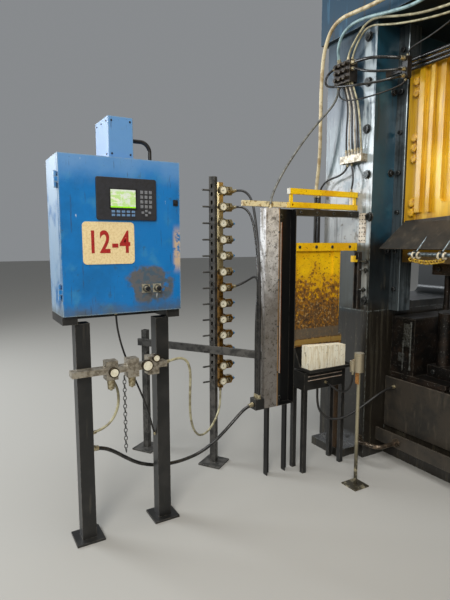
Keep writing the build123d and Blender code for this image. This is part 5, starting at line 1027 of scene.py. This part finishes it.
stud_root, stud_face, stud_y = -1.17, -1.168, -0.77
shape = Shape()
for stud_z, reach in ((1.405, 0.05), (1.345, 0.052), (1.21, 0.036)):
    stud_end = stud_face + reach
    shape.rod((stud_root, stud_y, stud_z), (stud_end, stud_y, stud_z), 0.006)
    shape.bolt((stud_end, stud_y, stud_z), X_AXIS, 0.028)
    shape.rod((stud_end, -0.75, stud_z), (stud_end, -0.772, stud_z), 0.009)
shape.piece("clamp_studs", "bolt", "black_frame", 0.0006)

tag_x = -0.842
shape = Shape()
shape.block((tag_x, -1.0945, 0.7), (0.03, 0.003, 0.07))
shape.block((tag_x, -1.092, 0.728), (0.024, 0.004, 0.006))
shape.piece("regulator_tag", "tag_brown", "cast_fitting", 0.0006)

# Guard bars, panel and light curtain on both sides
guard_x, lens_y, lens_z, lens_height = 1.242, -1.403, 1.172, 0.98
header_bolt_x, frame_bolt_x, frame_y = 1.219, 1.212, -1.434
links, lenses, copper, bolts, strips = Shape(), Shape(), Shape(), Shape(), Shape()
for side in SIDES:
    inward = (-side, 0, 0)
    links.block((side * guard_x, -0.8, 1.817), (0.014, 0.018, 0.054))
    links.block((side * guard_x, -1.3385, 1.86), (0.032, 0.003, 0.037))
    lens_x = side * (guard_x - 0.007)
    lenses.block((lens_x, lens_y, lens_z), (0.004, 0.012, lens_height))
    for line_y, width in ((-1.4135, 0.0025), (-1.3925, 0.0018)):
        copper.block((lens_x, line_y, lens_z), (0.003, width, lens_height))
    for bolt_z in (1.697, 0.52):
        bolts.bolt((lens_x, lens_y, bolt_z), inward, 0.026, 0.008, sides=16)
    for bolt_y in (-1.26, -1.12, -0.98, -0.82):
        bolts.bolt((side * header_bolt_x, bolt_y, 1.505), inward, 0.018, 0.006)
        bolts.bolt((side * frame_bolt_x, bolt_y, 1.727), inward, 0.018, 0.006)
    for bolt_z in (1.6, 1.3, 1.0, 0.7):
        bolts.bolt((side * frame_bolt_x, frame_y, bolt_z), inward, 0.01, 0.004, washer=False)
links.piece("bar_end_plates", "white", "guard_yellow", 0.001)
lenses.piece("curtain_lenses", "lens", "emitter_housing", 0.0008)
copper.piece("curtain_lines", "copper", "emitter_housing")
bolts.piece("guard_bolts", "bolt_dark", "guard_yellow", 0.0005)

for strip_z in (0.6585, 0.6315):
    strips.block((-1.131, -1.095, strip_z), (0.006, 0.298, 0.0035))
strips.piece("pedestal_strips", "lens", "black_frame")

# Cabinet fittings
face_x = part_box("cabinet_door")[1].x
display_low, display_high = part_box("operator_display")
display_size = display_high - display_low
display_x = display_high.x - 0.0005
key_depth = 0.006


def on_display(across, up):
    """A place on the display's face, as shares of its width and height from its lower left corner."""
    return Vector((display_x, display_low.y + across * display_size.y, display_low.z + up * display_size.z))


def display_panel(low, high, depth):
    """A block on the display between two corners given as shares."""
    a, b = on_display(*low), on_display(*high)
    shape.block((a + b) / 2, (depth, b.y - a.y, b.z - a.z))


shape = Shape()
display_panel((0.225, 0.29), (0.64, 0.72), 0.003)
shape.piece("screen", "screen", "display_plastic", 0.0005, body=DOOR)

shape = Shape()
display_panel((0.21, 0.72), (0.655, 0.75), key_depth)
display_panel((0.21, 0.26), (0.655, 0.29), key_depth)
display_panel((0.205, 0.26), (0.225, 0.75), key_depth)
display_panel((0.64, 0.26), (0.66, 0.75), key_depth)
shape.piece("screen_frame", "black", "display_plastic", 0.0008, body=DOOR)

shape = Shape()
for row in range(2):
    for column in range(5):
        shape.block(on_display(0.265 + column * 0.083, 0.2 - row * 0.085), (key_depth, 0.017, 0.011))
shape.piece("function_keys", "key_blue", "display_plastic", 0.001, body=DOOR)

shape = Shape()
for row in range(4):
    for column in range(3):
        shape.block(on_display(0.745 + column * 0.075, 0.68 - row * 0.115), (key_depth, 0.015, 0.016))
for across, up in ((0.76, 0.19), (0.82, 0.23), (0.82, 0.13), (0.88, 0.19)):
    shape.block(on_display(across, up), (key_depth, 0.013, 0.012))
shape.piece("number_keys", "key_grey", "display_plastic", 0.001, body=DOOR)

shape = Shape()
latch = Vector((face_x, -2.204, 1.739))
shape.block(latch + Vector((0.003, 0, 0)), (0.006, 0.026, 0.03))
shape.peg(latch, 0, 0.011, 0.009)
shape.piece("door_latch", "black", "display_plastic", 0.001, body=DOOR)

# Red digits on the plate
plate_low, plate_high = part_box("number_plate")
plate_middle = (plate_low + plate_high) / 2
text = bpy.data.curves.new("plate_digits", "FONT")
text.body = "12-4"
text.size = 0.15
text.extrude = 0.0006
text.offset = 0.003
text.space_character = 1.1
text.align_x = "CENTER"
text.align_y = "CENTER"
flat = bpy.data.objects.new("plate_digits_text", text)
bpy.context.scene.collection.objects.link(flat)
bpy.context.view_layer.update()
digits_mesh = bpy.data.meshes.new_from_object(flat)
bpy.data.objects.remove(flat)
digits = bpy.data.objects.new("plate_digits", digits_mesh)
bpy.context.scene.collection.objects.link(digits)
digits.data.materials.clear()
digits.data.materials.append(finishes["red"])
narrowed = Matrix.Diagonal((0.72, 1.0, 1.0, 1.0))
facing_right = Matrix(((0, 0, 1, 0), (1, 0, 0, 0), (0, 1, 0, 0), (0, 0, 0, 1)))
on_plate = Matrix.Translation((plate_high.x + 0.0005, plate_middle.y, plate_middle.z))
for change in (narrowed, facing_right, on_plate):
    digits.data.transform(change)
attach(digits, DOOR)

# Selector switches: collars and pointed knobs
plate_depth, switch_z = 0.003, 1.303
collars, knobs = Shape(), Shape()
for switch_y in (-2.373, -2.313):
    at = Vector((face_x + plate_depth, switch_y, switch_z))
    collars.ring(at + Vector((0.004, 0, 0)), X_AXIS, 0.0155, 0.003)
    knobs.peg(at, 0.02, 0.034, 0.0125, 0.011)
    knobs.block(at + Vector((0.037, 0, 0)), (0.012, 0.007, 0.026))
collars.piece("switch_collars", "bolt", "switch_plate", body=DOOR)
knobs.piece("switch_knobs", "black", "switch_plate", 0.001, body=DOOR)

# Junction box screws
box_low, box_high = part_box("junction_box")
edge_y, edge_x, edge_z = 0.016, 0.03, 0.02
head_width, head_height = 0.009, 0.003
shape = Shape()
for screw_z in (box_low.z + edge_z, box_high.z - edge_z):
    for screw_y in (box_low.y + edge_y, box_high.y - edge_y):
        shape.bolt((box_high.x, screw_y, screw_z), X_AXIS, head_width, head_height, washer=False, sides=10)
    for screw_x in (box_low.x + edge_x, (box_low.x + box_high.x) / 2, box_high.x - edge_x):
        shape.bolt((screw_x, box_low.y, screw_z), (0, -1, 0), head_width, head_height, washer=False, sides=10)
shape.piece("junction_box_screws", "black", "cabinet_blue")

# Valve stack: gauges, side caps, levers and the unions that wait for a hose
gauge_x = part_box("valve_stack")[1].x
valve_first, valve_pitch, valve_count = 0.59, 0.107, 13
hosed_valves = (6, 11, 12)
gauge_y, valve_x, valve_y, cap_x, union_y = -1.655, -1.5696, -1.607, -1.5376, -1.56
needle_length, lever_length = 0.015, 0.024
dials, rims, needles, caps, levers, unions = Shape(), Shape(), Shape(), Shape(), Shape(), Shape()
for valve in range(valve_count):
    valve_z = valve_first + valve * valve_pitch
    at = Vector((gauge_x, gauge_y, valve_z))
    rims.ring(at, X_AXIS, 0.0245, 0.0035)
    dials.peg(at, 0, 0.001, 0.0225)
    swing = rng.uniform(-2.2, 0.6)
    tip = Vector((0.002, math.sin(swing) * needle_length, math.cos(swing) * needle_length))
    needles.rod(at + Vector((0.0015, 0, 0)), at + tip, 0.0009, 0.0004, sides=6)
    needles.peg(at, 0.0005, 0.002, 0.0028, sides=10)
    cap = Vector((cap_x, valve_y, valve_z))
    caps.peg(cap, -0.004, 0.008, 0.017, 0.014)
    caps.peg(cap, 0, 0.014, 0.007, sides=6)
    tilt = rng.uniform(-0.5, 0.5)
    reach = Vector((0, math.sin(tilt) * lever_length, math.cos(tilt) * lever_length))
    lever_foot, lever_tip = cap + Vector((0.012, 0, 0)) - reach * 0.3, cap + Vector((0.013, 0, 0)) + reach
    levers.rod(lever_foot, lever_tip, 0.005, 0.0035, sides=10)
    levers.ring((valve_x, valve_y - 0.02, valve_z), Y_AXIS, 0.031, 0.004, sides=18)
    if valve not in hosed_valves:
        end = Vector((valve_x, union_y, valve_z))
        unions.rod(end - Vector((0, 0.004, 0)), end + Vector((0, 0.012, 0)), 0.011, sides=6)
        unions.rod(end, end + Vector((0, 0.018, 0)), 0.007, 0.006)
dials.piece("gauge_dials", "dial", "brass_valve")
rims.piece("gauge_rims", "silver_brass", "brass_valve")
needles.piece("gauge_needles", "black", "brass_valve")
caps.piece("valve_caps", "silver_brass", "brass_valve", 0.0006)
levers.piece("valve_levers", "dark_brass", "brass_valve")
unions.piece("valve_unions", "union_blue", "brass_valve", 0.0005)

# Air preparation: three gauges, two bowls and a chain
prep_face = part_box("air_prep")[1].x
gauge_depth, bowl_x, bowl_top, bowl_foot = 0.018, -1.084, 0.854, 0.8
link_count, link_top, link_pitch = 19, 0.847, 0.0215
bodies, faces, bowls, links = Shape(), Shape(), Shape(), Shape()
for gauge_y, gauge_z, radius in ((-2.56, 0.893, 0.025), (-2.384, 0.906, 0.029), (-2.335, 0.94, 0.02)):
    at = Vector((prep_face, gauge_y, gauge_z))
    bodies.peg(at, -0.004, gauge_depth, radius)
    bodies.ring(at + Vector((gauge_depth, 0, 0)), X_AXIS, radius - 0.002, 0.003)
    faces.peg(at, gauge_depth, gauge_depth + 0.001, radius - 0.003)
for bowl_y in (-2.565, -2.455):
    bowls.rod((bowl_x, bowl_y, bowl_top), (bowl_x, bowl_y, bowl_foot), 0.021, 0.017)
    bowls.rod((bowl_x, bowl_y, bowl_foot + 0.002), (bowl_x, bowl_y, bowl_foot - 0.008), 0.006)
for link in range(link_count):
    link_axis = X_AXIS if link % 2 else Y_AXIS
    place = (bowl_x, -2.495, link_top - link * link_pitch)
    links.ring(place, link_axis, 0.008, 0.0024, sides=12, stretch=1.6, turn=math.pi / 2)
bodies.piece("prep_gauges", "dark_brass", "cast_fitting", 0.0006)
faces.piece("prep_dials", "dial", "cast_fitting")
bowls.piece("prep_bowls", "silver_brass", "cast_fitting", 0.0008)
links.piece("prep_chain", "bolt_dark", "cast_fitting")

# Stage and lights
floor_mesh = bpy.data.meshes.new("studio_floor")
floor_reach = 40.0
floor_corners = [(x * floor_reach, y * floor_reach, 0) for x, y in ((-1, -1), (1, -1), (1, 1), (-1, 1))]
floor_mesh.from_pydata(floor_corners, [], [(0, 1, 2, 3)])
studio_floor = bpy.data.objects.new("studio_floor", floor_mesh)
bpy.context.scene.collection.objects.link(studio_floor)
floor_mesh.materials.append(Finish("floor_pale", (168, 166, 160), 0.7).done())

world = bpy.data.worlds.new("studio")
world.use_nodes = True
background = world.node_tree.nodes["Background"]
background.inputs["Color"].default_value = (0.72, 0.75, 0.78, 1.0)
background.inputs["Strength"].default_value = 0.34
bpy.context.scene.world = world


def soft_light(name, place, target, size, power, tint=(1, 1, 1)):
    data = bpy.data.lights.new(name, "AREA")
    data.shape = "RECTANGLE"
    data.size, data.size_y = size
    data.energy = power
    data.color = tint
    lamp = bpy.data.objects.new(name, data)
    bpy.context.scene.collection.objects.link(lamp)
    lamp.location = place
    lamp.rotation_euler = (Vector(target) - Vector(place)).to_track_quat("-Z", "Y").to_euler()


soft_light("front_light", (4.5, -6.5, 5.5), (-0.6, -0.6, 1.6), (3.0, 3.0), 460, (1.0, 0.97, 0.92))
soft_light("left_light", (-5.6, -5.8, 3.3), (-0.8, -1.2, 1.6), (2.4, 2.2), 240, (0.9, 0.95, 1.0))
soft_light("high_light", (0.0, -3.0, 8.0), (-0.5, -1.0, 1.0), (5.0, 4.0), 320)
soft_light("rear_light", (2.0, 7.0, 5.0), (0, 0, 2.0), (4.0, 4.0), 220)
bpy.context.scene.view_settings.view_transform = "Standard"

bpy.context.view_layer.update()
